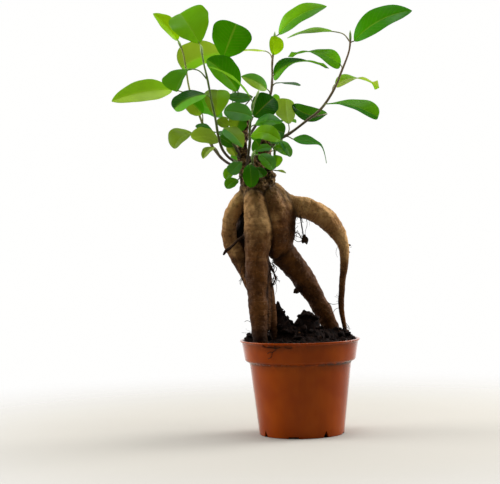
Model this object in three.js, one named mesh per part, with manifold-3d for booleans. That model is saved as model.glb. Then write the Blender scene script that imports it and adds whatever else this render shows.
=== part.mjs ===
// Ficus ginseng bonsai in a small nursery pot.
// Millimetres, +Z up. The front faces -Y, and the origin is the middle of the pot's underside.

import * as THREE from 'three';
import { mergeVertices } from 'three/addons/utils/BufferGeometryUtils.js';
import Module from 'manifold-3d';

const wasm = await Module();
wasm.setup();

const GAP = 0.3; // clearance between neighbouring pieces
const BLADE = 0.7; // thickness of a leaf blade
const PETIOLE = 0.6; // radius of a leaf stalk
const STEM_FOOT = 1.15; // radius of a leafy stem at its foot
const STEM_TIP = 0.6;
const LEAN = 1.3; // degrees that the plant leans to its right in the pot
const STAND = -1.2; // how far left of the pot's axis its foot stands

// Pot: a thin plastic wall with a stepped band under its lip
const POT_HEIGHT = 71;
const LIP_RADIUS = 45;
const BAND_TOP_RADIUS = 43.6;
const BAND_FOOT_RADIUS = 41.7;
const BAND_FOOT = 56.5; // height where the band ends
const BODY_TOP = 54; // height where the step has drawn in
const BODY_TOP_RADIUS = 38.1;
const FOOT_RADIUS = 31.8;
const WALL = 1.1;
const FLOOR = 1.2;
const CHAMFER = 0.8; // at the outer edge of the foot
const LIP_HEIGHT = 1; // of the upright edge of the lip
const LIP_FLARE = 0.6; // height over which the lip stands out from the band
const ROUND = 40; // sides of everything turned
const DRAINS = 4; // drain notches at the foot, with a slit between two of them
const DRAIN_TURN = -58; // degrees from the front to the first notch
const DRAIN = { width: 6, height: 5, slope: 3 }; // slope: how far each side leans in towards the top
const SLIT = { width: 9, height: 1.4, slope: 1 };
const DRAIN_REACH = 4; // how far the drains run to either side of the foot's edge

// Soil: its level at the wall, and mounds as [x, y, height, spread, power]. A high power makes a flat clod.
const SOIL_LEVEL = 69.5;
const SOIL_RADIUS = 41.6;
const SOIL_RINGS = [0.92, 0.8, 0.66, 0.54, 0.42, 0.3, 0.18, 0]; // parts of the radius
const STEP_PLAY = 1; // how far above the wall's step the soil follows it
const MOUNDS = [
  [1, 5, 11.5, 20, 2.4],
  [-17.5, -6, 17.5, 5, 2.4],
  [-12, -5, 11, 7.5, 2.2],
  [7.3, 1, 9.5, 8.3, 9],
  [25, 12, 4, 10, 2],
  [-28, 20, 3.5, 14, 2],
  [4, 32, 3, 14, 2],
  [30, 20, 2.5, 12, 2],
  [-35, -4, 6, 6, 2],
  [35.5, 6, 4.5, 6, 2],
];
const ROLL = { height: 0.8, across: 3.1, along: 3.7 };

// Thick roots and crown, from top to bottom, as knots [x, y, z, radius]
const ROOTS = {
  frontLeg: [
    [-33, -3, 183, 7], [-34, -8, 174, 8.5], [-33, -11, 163, 9.5], [-32, -13, 151, 10],
    [-32, -14, 141, 9.5], [-33, -15, 131, 8.7], [-32.5, -16, 118, 8], [-32.5, -17, 105, 7.4],
    [-31.4, -18, 90, 6.8], [-30.8, -18.5, 75, 5.9], [-28.5, -17, 62, 4.6], [-25, -14, 48, 3],
  ],
  leftRoot: [
    [-40.2, 0, 180, 6], [-47.2, -1, 172, 6.1], [-52, -1, 163, 5.7], [-53.6, 1, 153, 5.2],
    [-52.5, 3, 143, 5.8], [-46.5, 4, 133, 6.1], [-42, 3, 123, 5.4], [-39.4, 0, 114.5, 4.3], [-34, -7, 104, 2.8],
  ],
  heart: [[-38, 8, 180, 8], [-41, 11, 166, 8], [-42, 11, 152, 8], [-40, 9, 140, 7.5], [-36, 4, 128, 6]],
  knob: [
    [-24, -4, 178, 8.2], [-19, -7, 168, 8.2], [-18, -8, 156, 7.6], [-18, -6, 145, 6.4], [-20, -3, 135, 4],
  ],
  middle: [
    [-20, 2, 180, 8.2], [-12, 1, 169, 8.6], [-11, 1, 159, 7.3], [-11.2, 2, 149, 7.8], [-14, 4, 139, 7.8],
  ],
  backLeg: [
    [-20, 5, 148, 9], [-11, 8, 134, 9.9], [-3, 10, 123, 8.9], [4, 12, 113, 8.2], [10, 13, 105, 7.5],
    [15, 14, 96, 6.9], [19, 15, 88, 6.6], [23, 16, 80, 6.2], [26, 15, 70, 5.5], [27, 13, 60, 4.2],
    [24, 11, 48, 3],
  ],
  arm: [
    [-26, 2, 181, 6.8], [-16, 2, 176.5, 6.9], [-4, 2, 171.6, 7.1], [4, 3, 169, 7.8], [12, 4, 166, 8.2],
    [19, 5, 161, 8], [25.5, 6, 154.4, 7], [30.6, 7, 146.3, 5.3], [33.3, 8, 138, 3.8], [33.4, 9, 128, 3.1],
    [32.4, 9, 118, 2.7], [31.5, 9, 107, 2.4], [31, 9, 97, 2.3], [32, 9, 88, 2], [33.8, 9, 79, 1.7],
    [34.6, 9, 71, 1.4], [34, 8, 60, 1],
  ],
  side: [
    [-28, -10, 132, 4], [-25.5, -11, 119, 3.6], [-23.5, -11.5, 108, 3.4], [-22.4, -12, 98, 3.3],
    [-21.2, -12, 90, 3.2], [-20.6, -12, 81, 3], [-19.4, -12, 71, 2.4], [-17, -11, 59, 1.5],
  ],
  twig: [
    [-40, -14, 150, 1.2], [-47, -13, 145, 1], [-52, -11, 140, 1.1], [-55.5, -10, 137.5, 1.3],
    [-57.5, -9, 134.5, 0.8],
  ],
  rootlet: [
    [-1, 1, 168, 1.2], [0, -1, 161, 0.8], [1, -1, 156, 0.8], [2, -1, 150, 1], [2.4, 0, 148.2, 2.2],
    [2.8, 0, 145, 2.7], [2.8, 0, 143, 1.6],
  ],
  hook: [[-26, -12, 131, 1.6], [-21, -14, 123, 1], [-19, -15, 117, 1], [-21, -15, 112, 0.8]],
  nub: [[1, 8, 111, 2.4], [-2.8, 6, 106.8, 2.1]],
  crown: [
    [-32, 0, 172, 11], [-32, 0, 180, 12.4], [-32, 0, 187, 11.6], [-33, 0, 194, 9.4], [-35, 0, 201, 6.6],
  ],
  leftTrunk: [
    [-36, -1, 187, 8.2], [-41, -2, 198, 6], [-43, -2, 208, 4.5], [-44, -1, 219, 3.7], [-42, 1, 229, 3.2],
    [-41, 2, 236, 2.6],
  ],
  rightTrunk: [
    [-30, 2, 187, 8.2], [-28, 3, 198, 6.4], [-27, 3, 208, 5.2], [-26, 3, 216, 4.5], [-25, 3, 221, 4.1],
  ],
  stump: [[-26.5, -2, 185, 4.4], [-22.8, -3, 191, 3.2], [-20.8, -4, 195.2, 2.8]],
};

// Outlines of the blades: how fast the edge rises from the base and falls to the tip
const ROUNDED = [0.85, 0.36];
const OVAL = [0.65, 0.56];
const POINTED = [0.66, 0.8];
const BLUNT = [0.75, 0.32];
const SHIELD = [0.6, 0.3];
const DROOPING = [0.4, 1.6];
const HOOKED = [0.9, 2];

// Leafy stems. A stem runs from its foot in the wood to its tip. Each blade lies between base and tip, is
// wide across and turns its upper side to faces. It may bow by arch times its length, fold up by fold
// degrees, have a wider half by skew, and turn by twist degrees about its rib. Flag is the width of a small
// lobe just before the tip, and hook the part of the blade's length by which the tip bends down.
const leaf = (base, tip, wide, faces, form, bends) => ({ base, tip, wide, faces, form, ...bends });
const SHOOTS = [
  {
    name: 'shoot_a',
    colour: 0x6f9f35,
    stem: [
      [-42, -4, 200], [-47, -10, 203], [-53, -15, 206], [-58, -19, 212], [-61, -21, 221],
      [-63, -22, 233], [-66, -23, 247], [-69, -23, 263], [-72, -23, 276], [-74, -22, 289],
    ],
    leaves: [
      leaf([-75, -21, 290], [-89.5, -14, 313], 30.5, [0.1, -1, 0.25], BLUNT, { arch: 0.08, skew: 0.15 }),
      leaf([-83, -22, 271], [-92, -27, 254], 16, [-0.35, -0.85, 0.35], ROUNDED, { skew: 0.7 }),
      leaf([-70, -29, 251.7], [-93, -35, 240.5], 18.5, [-0.1, -0.65, 0.75], SHIELD, { arch: 0.12 }),
      leaf([-63, -14, 236], [-62, -7, 257], 19, [0, -1, 0.3], ROUNDED, { arch: 0.15 }),
      leaf([-61, -14, 218.5], [-82, -9, 222.5], 16, [0, 0.7, 0.7], OVAL, { arch: 0.12 }),
    ],
  },
  {
    name: 'shoot_b',
    colour: 0x8fae3c,
    stem: [
      [-43, 0, 200], [-50, 4, 201], [-57, 8, 205], [-62, 11, 210], [-67, 14, 217], [-71, 16, 226],
      [-76, 17, 239], [-80, 18, 249], [-84, 19, 260], [-87, 20, 278], [-89, 20, 288], [-93, 20, 298],
    ],
    leaves: [
      leaf([-93, 20, 297], [-111.5, 16, 317], 15, [0.45, -0.75, 0.45], POINTED, { arch: 0.06, fold: 22 }),
      leaf([-97, 16, 259.2], [-142, 4, 249.4], 20, [0, -0.85, 0.5], POINTED, { arch: 0.08, fold: 12 }),
      leaf([-74, 12, 240.5], [-86, 6, 252], 13, [-0.3, -0.9, 0.3], OVAL, { arch: 0.1 }),
      leaf([-81.5, 6, 226], [-95, 0, 213.8], 17.5, [-0.3, -0.7, 0.6], OVAL, { arch: 0.2, skew: 0.3 }),
      leaf([-66, 6, 226], [-79, 6, 231], 9, [0, -0.6, 0.8], OVAL, { arch: 0.1 }),
      leaf([-65, 4, 215], [-73, -2, 206], 10, [-0.3, -0.5, 0.8], POINTED, { arch: 0.15 }),
    ],
  },
  {
    name: 'shoot_c',
    colour: 0x3f7d1e,
    stem: [
      [-45, 2, 213], [-46, 5, 223], [-45, 6, 235], [-46, 7, 245], [-48, 8, 253], [-52, 9, 266],
      [-56, 9, 277], [-58, 9, 283],
    ],
    leaves: [
      leaf([-58, 9, 283], [-48, 2, 307.5], 30.5, [0.05, -1, 0.2], BLUNT, { arch: 0.06 }),
      leaf([-55, 13, 287], [-91, 30, 277.5], 23, [-0.1, 0.8, 0.6], ROUNDED, { arch: 0.15, skew: -0.3 }),
      leaf([-47, 1, 257], [-70, -8, 279.5], 20.5, [0.15, -0.9, 0.4], OVAL, { skew: 0.25 }),
      leaf([-36, 3, 253], [-55, -2, 252], 13, [0, -0.65, 0.75], OVAL, { arch: -0.08 }),
    ],
  },
  {
    name: 'shoot_d',
    colour: 0x7aa83f,
    stem: [
      [-42, 1, 218], [-37, 6, 226], [-31, 10, 236], [-26, 14, 247], [-22, 16, 257], [-21, 16, 267],
      [-21, 16, 279], [-20, 15, 290], [-19, 14, 303],
    ],
    leaves: [
      leaf([-26, 20, 289], [-50, 28, 290], 10, [0, 0.05, 1], POINTED, { arch: 0.03, fold: 0 }),
      leaf([-20, 12, 285], [-21, 8, 299], 11, [0.2, -0.95, 0.1], OVAL, { arch: 0.05, fold: 18, skew: 0.4 }),
      leaf([-16, 14, 301], [20, 6, 321], 17.5, [-0.35, -0.8, 0.5], POINTED, { arch: 0.16, fold: 10 }),
      leaf([-20, 10, 269.5], [21, -7, 273], 16, [0, -0.3, 1], DROOPING, { arch: 0.18, twist: -140, flag: 4 }),
      leaf([-18, 12, 264], [-1, -10, 260], 11, [0.1, -0.3, 1], OVAL, { arch: 0.04, fold: 0 }),
      leaf([-25, 13, 259.5], [-44.5, 2, 268], 12, [-0.1, -0.9, 0.4], POINTED, { arch: 0.1 }),
    ],
  },
  {
    name: 'shoot_e',
    colour: 0x4f8f33,
    stem: [
      [-26, 0, 210], [-21, -2, 216], [-15, -4, 221], [-8, -5, 225], [4, -6, 234], [15, -6, 243],
      [25, -5, 258], [30, -4, 270], [36, -3, 286], [37, -3, 293], [37, -3, 302],
    ],
    leaves: [
      leaf([40, -3, 294], [82.5, -10, 315.5], 21, [-0.2, -0.85, 0.5], POINTED, { arch: 0.16, skew: -0.1 }),
      leaf([24, 4, 302], [-9.5, 18, 298.6], 12, [0.05, -0.5, 0.95], POINTED, { arch: 0.09, fold: 0 }),
      leaf([30, 0, 276.5], [-9, 14, 284], 13.5, [0, -0.4, 1], DROOPING, { arch: 0.16, twist: 130, flag: 6 }),
      leaf([26, 2, 262], [60, 12, 260.3], 11, [0, -0.1, 1], DROOPING, { arch: 0.17, twist: -140, flag: 8 }),
      leaf([19, -9, 246.6], [57, -15, 236.2], 14, [0.1, -0.6, 0.8], BLUNT, { twist: 70, skew: -0.3 }),
      leaf([20, 3, 240], [-6, 10, 247], 14, [0, -0.9, 0.5], OVAL, { arch: -0.26 }),
      leaf([-9, -2, 232], [-11, 8, 252], 18, [-0.3, 0.8, 0.2], ROUNDED, { arch: 0.1 }),
      leaf([-6, -8, 220.5], [21, -12, 214.3], 15, [0.1, -0.5, 0.85], HOOKED, { arch: 0.03, hook: 0.5 }),
    ],
  },
  {
    name: 'shoot_f',
    colour: 0x5d9a2c,
    stem: [
      [-40, -4, 196], [-40, -11, 201], [-39, -16, 209], [-38, -19, 218], [-38, -19, 228],
      [-37, -18, 237], [-35, -15, 246], [-31, -11, 257],
    ],
    leaves: [
      leaf([-38, -20, 251], [-69, -22, 273], 10, [0.45, 0.1, 0.9], POINTED, { arch: 0.11, fold: 0 }),
      leaf([-36, -23, 236], [-57, -24, 240], 16, [-0.1, -0.9, 0.5], OVAL, { arch: 0.1 }),
      leaf([-35, -8, 237], [-20, 0, 252], 20, [0.1, -1, 0.3], OVAL, { arch: 0.1 }),
      leaf([-34, -12, 231], [-14, -16, 232], 13, [0, -0.7, 0.7], POINTED, { arch: 0.15 }),
      leaf([-37, -25, 222], [-16, -32, 218], 15, [0, -0.75, 0.6], OVAL, { arch: 0.25 }),
      leaf([-29, -5, 228], [-12, -8, 225], 15, [0.1, -0.9, 0.4], ROUNDED),
    ],
  },
  {
    name: 'sprout_left',
    colour: 0x4d8a35,
    stem: [[-42, -1, 191], [-44, -8, 194], [-46, -13, 197], [-48, -15, 201], [-50, -16, 205]],
    leaves: [
      leaf([-44, -20, 203], [-52, -24, 194], 11, [-0.2, -0.85, 0.5], ROUNDED),
      leaf([-50, -13, 200], [-55.5, -16, 190], 9, [-0.3, -0.8, 0.5], OVAL),
      leaf([-47, -13, 190], [-55.3, -17, 183.5], 10.5, [-0.1, -0.7, 0.7], OVAL, { arch: 0.15 }),
    ],
  },
  {
    name: 'sprout_front',
    colour: 0x3f7d1e,
    stem: [[-35, -4, 191], [-35, -11, 196], [-36, -17, 202], [-36, -20, 207], [-34, -19, 212]],
    leaves: [
      leaf([-38, -23, 201], [-37, -27, 184], 12, [0.1, -0.95, 0.35], OVAL, { arch: 0.12 }),
      leaf([-34, -16, 199], [-28, -20, 192], 9, [0.2, -0.8, 0.5], ROUNDED),
      leaf([-33, -20, 211], [-22, -20, 213], 8, [0, -0.7, 0.7], OVAL, { arch: 0.15 }),
      leaf([-31, -24, 208], [-21, -28, 197], 12, [0.2, -0.8, 0.6], OVAL, { arch: 0.15 }),
    ],
  },
  {
    name: 'sprout_right',
    colour: 0x62983c,
    stem: [[-28, 0, 194], [-22, -6, 200], [-20, -9, 206], [-19, -10, 214], [-16, -9, 220]],
    leaves: [
      leaf([-20, -13, 214], [-12, -15, 212], 9, [0, -0.8, 0.6], ROUNDED),
      leaf([-15, -11, 219], [-8, -13, 207], 8, [0.3, -0.7, 0.6], OVAL),
      leaf([-19, -14, 199], [-17, -16, 208], 8, [0, -1, 0.2], ROUNDED),
      leaf([-23, -13, 219], [-16, -16, 217], 6, [0, -0.8, 0.6], OVAL),
      leaf([-18, -8, 197], [-11, -10, 195], 4, [0, -0.4, 0.9], POINTED, { fold: 0 }),
    ],
  },
  {
    name: 'sprout_inner',
    colour: 0x4a8438,
    stem: [[-44, -3, 205], [-47, -8, 211], [-50, -12, 217], [-53, -16, 223], [-55, -19, 228]],
    leaves: [
      leaf([-57, -27, 227], [-43, -33, 213], 14, [0.2, -0.8, 0.6], POINTED, { arch: 0.15 }),
      leaf([-50, -8, 215], [-61, -7, 222], 10, [0, -0.9, 0.4], OVAL),
      leaf([-48, -8, 208], [-54, -6, 217], 8, [-0.2, -0.9, 0.3], OVAL),
      leaf([-54, -11, 229], [-62, -9, 235], 9, [0, -0.8, 0.5], OVAL),
      leaf([-49, -9, 226], [-45, -11, 238], 14, [0.1, -0.95, 0.3], OVAL),
    ],
  },
  {
    name: 'sprout_back_left',
    colour: 0x4d8a35,
    stem: [[-36, 4, 197], [-40, 12, 205], [-46, 20, 217], [-51, 27, 231], [-55, 31, 245]],
    leaves: [
      leaf([-51, 33, 262], [-55, 35, 279], 12, [-0.2, 0.8, 0.5], OVAL, { arch: 0.1 }),
      leaf([-59, 32, 240], [-84, 36, 249], 17, [-0.3, 0.6, 0.7], OVAL, { arch: 0.15 }),
      leaf([-48, 32, 231], [-40, 48, 243], 16, [0.2, -0.3, 0.9], POINTED, { arch: 0.15 }),
      leaf([-55, 24, 221], [-70, 36, 226], 14, [-0.3, 0.2, 0.9], OVAL, { arch: 0.2 }),
      leaf([-42, 22, 208], [-50, 36, 204], 13, [-0.1, 0.6, 0.8], OVAL, { arch: 0.2 }),
      leaf([-43, 10, 214], [-52, 8, 224], 13, [-0.2, -0.9, 0.3], OVAL),
    ],
  },
  {
    name: 'sprout_back_right',
    colour: 0x3f7d1e,
    stem: [[-27, 5, 198], [-25, 12, 206], [-22, 19, 217], [-22, 25, 230], [-26, 29, 243]],
    leaves: [
      leaf([-26, 31, 247], [-15, 36, 252], 15, [0.3, 0.6, 0.8], ROUNDED, { arch: 0.15 }),
      leaf([-19, 30, 232], [-2, 44, 236], 15, [0.3, 0.3, 0.9], POINTED, { arch: 0.15 }),
      leaf([-26, 28, 222], [-34, 44, 222], 14, [-0.2, 0.4, 0.9], OVAL, { arch: 0.2 }),
      leaf([-18, 20, 213], [-9, 32, 210], 13, [0.2, 0.5, 0.8], OVAL, { arch: 0.2 }),
      leaf([-27, 14, 208], [-34, 10, 221], 14, [0.1, -0.95, 0.3], OVAL),
      leaf([-22, 15, 216], [-17, 11, 228], 13, [0.2, -0.9, 0.3], OVAL),
    ],
  },
];

// Joining and cutting

function solidOf(geometry) {
  const bare = geometry.clone();
  bare.deleteAttribute('normal');
  bare.deleteAttribute('uv');
  const welded = mergeVertices(bare);
  const corners = welded.index.array;
  const kept = [];
  for (let i = 0; i < corners.length; i += 3) {
    const [a, b, c] = [corners[i], corners[i + 1], corners[i + 2]];
    if (a !== b && b !== c && c !== a) kept.push(a, b, c);
  }
  const vertProperties = welded.attributes.position.array;
  return new wasm.Manifold(new wasm.Mesh({ numProp: 3, vertProperties, triVerts: new Uint32Array(kept) }));
}

function geometryOf(solid) {
  const { vertProperties, triVerts } = solid.getMesh();
  const geometry = new THREE.BufferGeometry();
  geometry.setAttribute('position', new THREE.BufferAttribute(vertProperties, 3));
  geometry.setIndex(new THREE.BufferAttribute(triVerts, 1));
  geometry.computeVertexNormals();
  return geometry;
}

const join = (solids) => solids.reduce((whole, solid) => whole.add(solid));
const cut = (solid, tools) => tools.reduce((rest, tool) => rest.subtract(tool), solid);

// Closed mesh from a list of points and a list of triangles
function closedMesh(points, triangles) {
  const geometry = new THREE.BufferGeometry().setFromPoints(points);
  geometry.setIndex(triangles.flat());
  return geometry;
}

const curveThrough = (knots) => {
  const points = knots.map(([x, y, z]) => new THREE.Vector3(x, y, z));
  return new THREE.CatmullRomCurve3(points, false, 'centripetal');
};

// A limb is a round bar that follows knots [x, y, z, radius], with ends drawn out by part of their radius.
function limb(knots, { sides = 8, steps = 2, ends = 0.4, grow = 0 } = {}) {
  const path = curveThrough(knots);
  const spans = knots.length - 1;
  const rings = spans * steps;
  const points = [];
  const side = new THREE.Vector3(0, 1, 0);
  for (let i = 0; i <= rings; i++) {
    const centre = path.getPoint(i / rings);
    const along = path.getTangent(i / rings);
    const span = Math.min(Math.floor(i / steps), spans - 1);
    const radius = THREE.MathUtils.lerp(knots[span][3], knots[span + 1][3], i / steps - span) + grow;
    side.addScaledVector(along, -side.dot(along)).normalize();
    const across = new THREE.Vector3().crossVectors(along, side);
    const end = i === 0 ? -1 : 1;
    const cap = centre.clone().addScaledVector(along, end * (ends * radius + grow));
    if (i === 0) points.push(cap);
    for (let j = 0; j < sides; j++) {
      const turn = (2 * Math.PI * j) / sides;
      const out = side.clone().multiplyScalar(radius * Math.cos(turn));
      points.push(out.addScaledVector(across, radius * Math.sin(turn)).add(centre));
    }
    if (i === rings) points.push(cap);
  }
  const triangles = [];
  const last = points.length - 1;
  for (let j = 0; j < sides; j++) {
    const next = (j + 1) % sides;
    triangles.push([0, 1 + next, 1 + j]);
    for (let i = 0; i < rings; i++) {
      const here = 1 + i * sides;
      const there = here + sides;
      triangles.push([here + j, here + next, there + next], [here + j, there + next, there + j]);
    }
    triangles.push([last, last - sides + j, last - sides + next]);
  }
  return solidOf(closedMesh(points, triangles));
}

// Leaves and leafy stems

// Where a blade is measured, from base to tip
const STATIONS = [0, 0.1, 0.28, 0.5, 0.72, 0.9, 1];
const SMALL_STATIONS = [0, 0.15, 0.45, 0.8, 1];
const SMALL_BLADE = 10;

const FLAG = { place: 0.92, spread: 0.05 };
const HOOK_START = 0.7;

const FLAT = { arch: 0.1, fold: 8, skew: 0, twist: 0, flag: 0, hook: 0 };

function blade(plan) {
  const { base, tip, wide, faces, form, arch, fold, skew, twist, flag, hook } = { ...FLAT, ...plan };
  const start = new THREE.Vector3(...base);
  const along = new THREE.Vector3(...tip).sub(start);
  const length = along.length();
  along.normalize();
  const up = new THREE.Vector3(...faces);
  up.addScaledVector(along, -up.dot(along)).normalize();
  const across = new THREE.Vector3().crossVectors(along, up);
  const lift = Math.tan(THREE.MathUtils.degToRad(fold));
  const [rise, fall] = form;
  const swell = (t) => t ** rise * (1 - t) ** fall;
  const widest = swell(rise / (rise + fall));
  const lobe = (t) => (flag / 2) * Math.exp(-(((t - FLAG.place) / FLAG.spread) ** 2));
  const hooked = (t) => Math.max(t - HOOK_START, 0) / (1 - HOOK_START);
  const bow = (t) => 4 * arch * t * (1 - t) - hook * hooked(t) ** 2;

  const rows = [];
  const upper = [];
  const lower = [];
  for (const t of wide > SMALL_BLADE ? STATIONS : SMALL_STATIONS) {
    const half = ((wide / 2) * swell(t)) / widest + lobe(t);
    const slope = 4 * arch * (1 - 2 * t) - (2 * hook * hooked(t)) / (1 - HOOK_START);
    const skin = up.clone().addScaledVector(along, -slope).normalize().multiplyScalar(BLADE / 2);
    const turn = THREE.MathUtils.degToRad(twist * (t - 0.5));
    const out = across.clone().applyAxisAngle(along, turn);
    skin.applyAxisAngle(along, turn);
    const columns = t === 0 || t === 1 ? [0] : [-1, 0, 1];
    rows.push(columns.map((column) => {
      const reach = column * half * (1 + column * skew);
      const point = start.clone().addScaledVector(along, length * t).addScaledVector(up, length * bow(t));
      point.addScaledVector(out, reach).addScaledVector(skin, (Math.abs(reach) * lift * 2) / BLADE);
      upper.push(point.clone().add(skin));
      lower.push(point.clone().sub(skin));
      return upper.length - 1;
    }));
  }
  const count = upper.length;
  const triangles = [];
  const face = (a, b, c) => {
    if (a === b || b === c || c === a) return;
    triangles.push([a, b, c], [a + count, c + count, b + count]);
  };
  const edge = (a, b) => triangles.push([a, b, b + count], [a, b + count, a + count]);
  for (let i = 0; i + 1 < rows.length; i++) {
    const [here, there] = [rows[i], rows[i + 1]];
    for (const j of [0, 1]) {
      const [a, b] = [here[j] ?? here[0], here[j + 1] ?? here[0]];
      const [c, d] = [there[j + 1] ?? there[0], there[j] ?? there[0]];
      face(a, b, c);
      face(a, c, d);
    }
    edge(here[0], there[0]);
    edge(there.at(-1), here.at(-1));
  }
  return solidOf(closedMesh([...upper, ...lower], triangles));
}

function stemKnots(stem) {
  const last = stem.length - 1;
  return stem.map((point, i) => [...point, THREE.MathUtils.lerp(STEM_FOOT, STEM_TIP, i / last)]);
}

// A leaf stalk springs from the stem below the blade's base, lower the longer it is, and ends a little way
// into the blade.
const STALK_OVERLAP = 1.5;
const STALK_DROP = 0.7;
const STALK_BEND = 0.1;
const STALK_SAMPLES = 60;

function petiole(stem, { base, tip, faces, arch = 0.1 }) {
  const path = curveThrough(stem);
  const start = new THREE.Vector3(...base);
  const samples = path.getPoints(STALK_SAMPLES);
  const closer = (best, point) => (point.distanceTo(start) < best.distanceTo(start) ? point : best);
  const nearest = samples.reduce(closer);
  const drop = Math.round((STALK_DROP * nearest.distanceTo(start) * samples.length) / path.getLength());
  const origin = Math.max(samples.indexOf(nearest) - drop - 1, 1);
  const from = samples[origin];
  const rise = path.getTangent(origin / (samples.length - 1));
  const along = new THREE.Vector3(...tip).sub(start).normalize();
  const up = new THREE.Vector3(...faces);
  up.addScaledVector(along, -up.dot(along)).normalize();
  const reach = from.distanceTo(start);
  const elbow = from.clone().lerp(start, 0.5);
  elbow.addScaledVector(rise, STALK_BEND * reach).addScaledVector(along, -STALK_BEND * reach);
  const end = start.clone().addScaledVector(along.addScaledVector(up, 4 * arch).normalize(), STALK_OVERLAP);
  return limb([from, elbow, end].map((point) => [...point, PETIOLE]), { sides: 4, steps: 1 });
}

const stalk = (stem, grow = 0) => limb(stemKnots(stem), { sides: 6, steps: 1, ends: 1, grow });

function shoot({ stem, leaves }) {
  return join([stalk(stem), ...leaves.map((plan) => petiole(stem, plan)), ...leaves.map(blade)]);
}

// Pot

const turned = (profile) => {
  const points = profile.map(([radius, height]) => new THREE.Vector2(radius, height));
  return new THREE.LatheGeometry(points, ROUND).rotateX(Math.PI / 2);
};

// A drain runs through the wall at the foot, on a half turn of its own from the front.
function drain({ width, height, slope }, turn) {
  const half = width / 2;
  const corners = [[-half, -1], [half, -1], [half - slope, height], [slope - half, height]];
  const outline = new THREE.Shape(corners.map((corner) => new THREE.Vector2(...corner)));
  const prism = new THREE.ExtrudeGeometry(outline, { depth: 2 * DRAIN_REACH, bevelEnabled: false });
  prism.rotateX(Math.PI / 2).translate(0, DRAIN_REACH - FOOT_RADIUS, 0);
  prism.rotateZ(THREE.MathUtils.degToRad(turn));
  return solidOf(prism);
}

function pot() {
  const shell = solidOf(turned([
    [0, 0], [FOOT_RADIUS - CHAMFER, 0], [FOOT_RADIUS, CHAMFER], [BODY_TOP_RADIUS, BODY_TOP],
    [BAND_FOOT_RADIUS, BAND_FOOT], [BAND_TOP_RADIUS, POT_HEIGHT - LIP_HEIGHT - LIP_FLARE],
    [LIP_RADIUS, POT_HEIGHT - LIP_HEIGHT], [LIP_RADIUS, POT_HEIGHT], [BAND_TOP_RADIUS - WALL, POT_HEIGHT],
    [BAND_FOOT_RADIUS - WALL, BAND_FOOT + WALL / 2], [BODY_TOP_RADIUS - WALL, BODY_TOP + WALL / 2],
    [FOOT_RADIUS - WALL, FLOOR], [0, FLOOR],
  ]));
  const drains = [];
  for (let i = 0; i < 2 * DRAINS; i++) {
    drains.push(drain(i % 2 ? SLIT : DRAIN, DRAIN_TURN + (180 / DRAINS) * i));
  }
  return cut(shell, drains);
}

// Soil

function soilHeight(x, y) {
  const heap = ([mx, my, height, spread, power]) => (
    height * Math.exp(-((Math.hypot(x - mx, y - my) / spread) ** power))
  );
  const rolling = ROLL.height * Math.sin(x / ROLL.across + 1) * Math.cos(y / ROLL.along);
  return SOIL_LEVEL + rolling + MOUNDS.map(heap).reduce((sum, height) => sum + height);
}

function soil(roots) {
  const inner = (radius) => radius - WALL - GAP;
  const body = turned([
    [0, FLOOR + GAP], [inner(FOOT_RADIUS), FLOOR + GAP], [inner(BODY_TOP_RADIUS), BODY_TOP + STEP_PLAY],
    [inner(BAND_FOOT_RADIUS), BAND_FOOT + STEP_PLAY], [SOIL_RADIUS, SOIL_LEVEL],
    ...SOIL_RINGS.map((part) => [SOIL_RADIUS * part, SOIL_LEVEL + 1]),
  ]);
  const places = body.attributes.position;
  for (let i = 0; i < places.count; i++) {
    if (places.getZ(i) > SOIL_LEVEL + 0.5) places.setZ(i, soilHeight(places.getX(i), places.getY(i)));
  }
  return cut(solidOf(body), roots);
}

// Rootstock

const SAWN = ['rightTrunk', 'stump']; // limbs that end square
const THICK = 5; // radius from which a limb has more sides
const LONG = 7; // knots from which a limb needs no rings between them

function rootLimb([name, knots], grow = 0) {
  const sides = knots[0][3] > THICK ? 10 : 6;
  const steps = knots.length > LONG ? 1 : 2;
  return limb(knots, { sides, steps, ends: SAWN.includes(name) ? 0.05 : 0.4, grow });
}

function rootstock() {
  const limbs = Object.entries(ROOTS).map((root) => rootLimb(root));
  return cut(join(limbs), SHOOTS.map(({ stem }) => stalk(stem, GAP)));
}

// The plant in its pot

const plastic = new THREE.MeshStandardMaterial({ color: 0xa5522a, roughness: 0.3, metalness: 0 });
const peat = new THREE.MeshStandardMaterial({ color: 0x2b2019, roughness: 0.95, metalness: 0 });
const bark = new THREE.MeshStandardMaterial({ color: 0x6f5236, roughness: 0.8, metalness: 0 });

const bonsai = new THREE.Group();
const plant = new THREE.Group();
plant.position.x = STAND;
plant.rotation.y = THREE.MathUtils.degToRad(LEAN);
plant.updateMatrix();
bonsai.add(plant);

function place(name, solid, material, group) {
  const mesh = new THREE.Mesh(geometryOf(solid), material);
  mesh.name = name;
  group.add(mesh);
}

const buried = ['frontLeg', 'backLeg', 'arm', 'side'].map((name) => rootLimb([name, ROOTS[name]], GAP));
const holes = buried.map((solid) => solidOf(geometryOf(solid).applyMatrix4(plant.matrix)));

place('pot', pot(), plastic, bonsai);
place('soil', soil(holes), peat, bonsai);
place('rootstock', rootstock(), bark, plant);
for (const plan of SHOOTS) {
  const green = new THREE.MeshStandardMaterial({ color: plan.colour, roughness: 0.4, metalness: 0 });
  place(plan.name, shoot(plan), green, plant);
}

export default bonsai;
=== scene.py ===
"""Looks of the ficus ginseng bonsai: turned pot, peat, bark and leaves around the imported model.

Shapes are worked out in millimetres, in the model's own frame, and written to the meshes in metres.
"""

import math

import bmesh
import bpy
import numpy as np
from numpy.linalg import norm
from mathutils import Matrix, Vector
from mathutils.bvhtree import BVHTree


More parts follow.
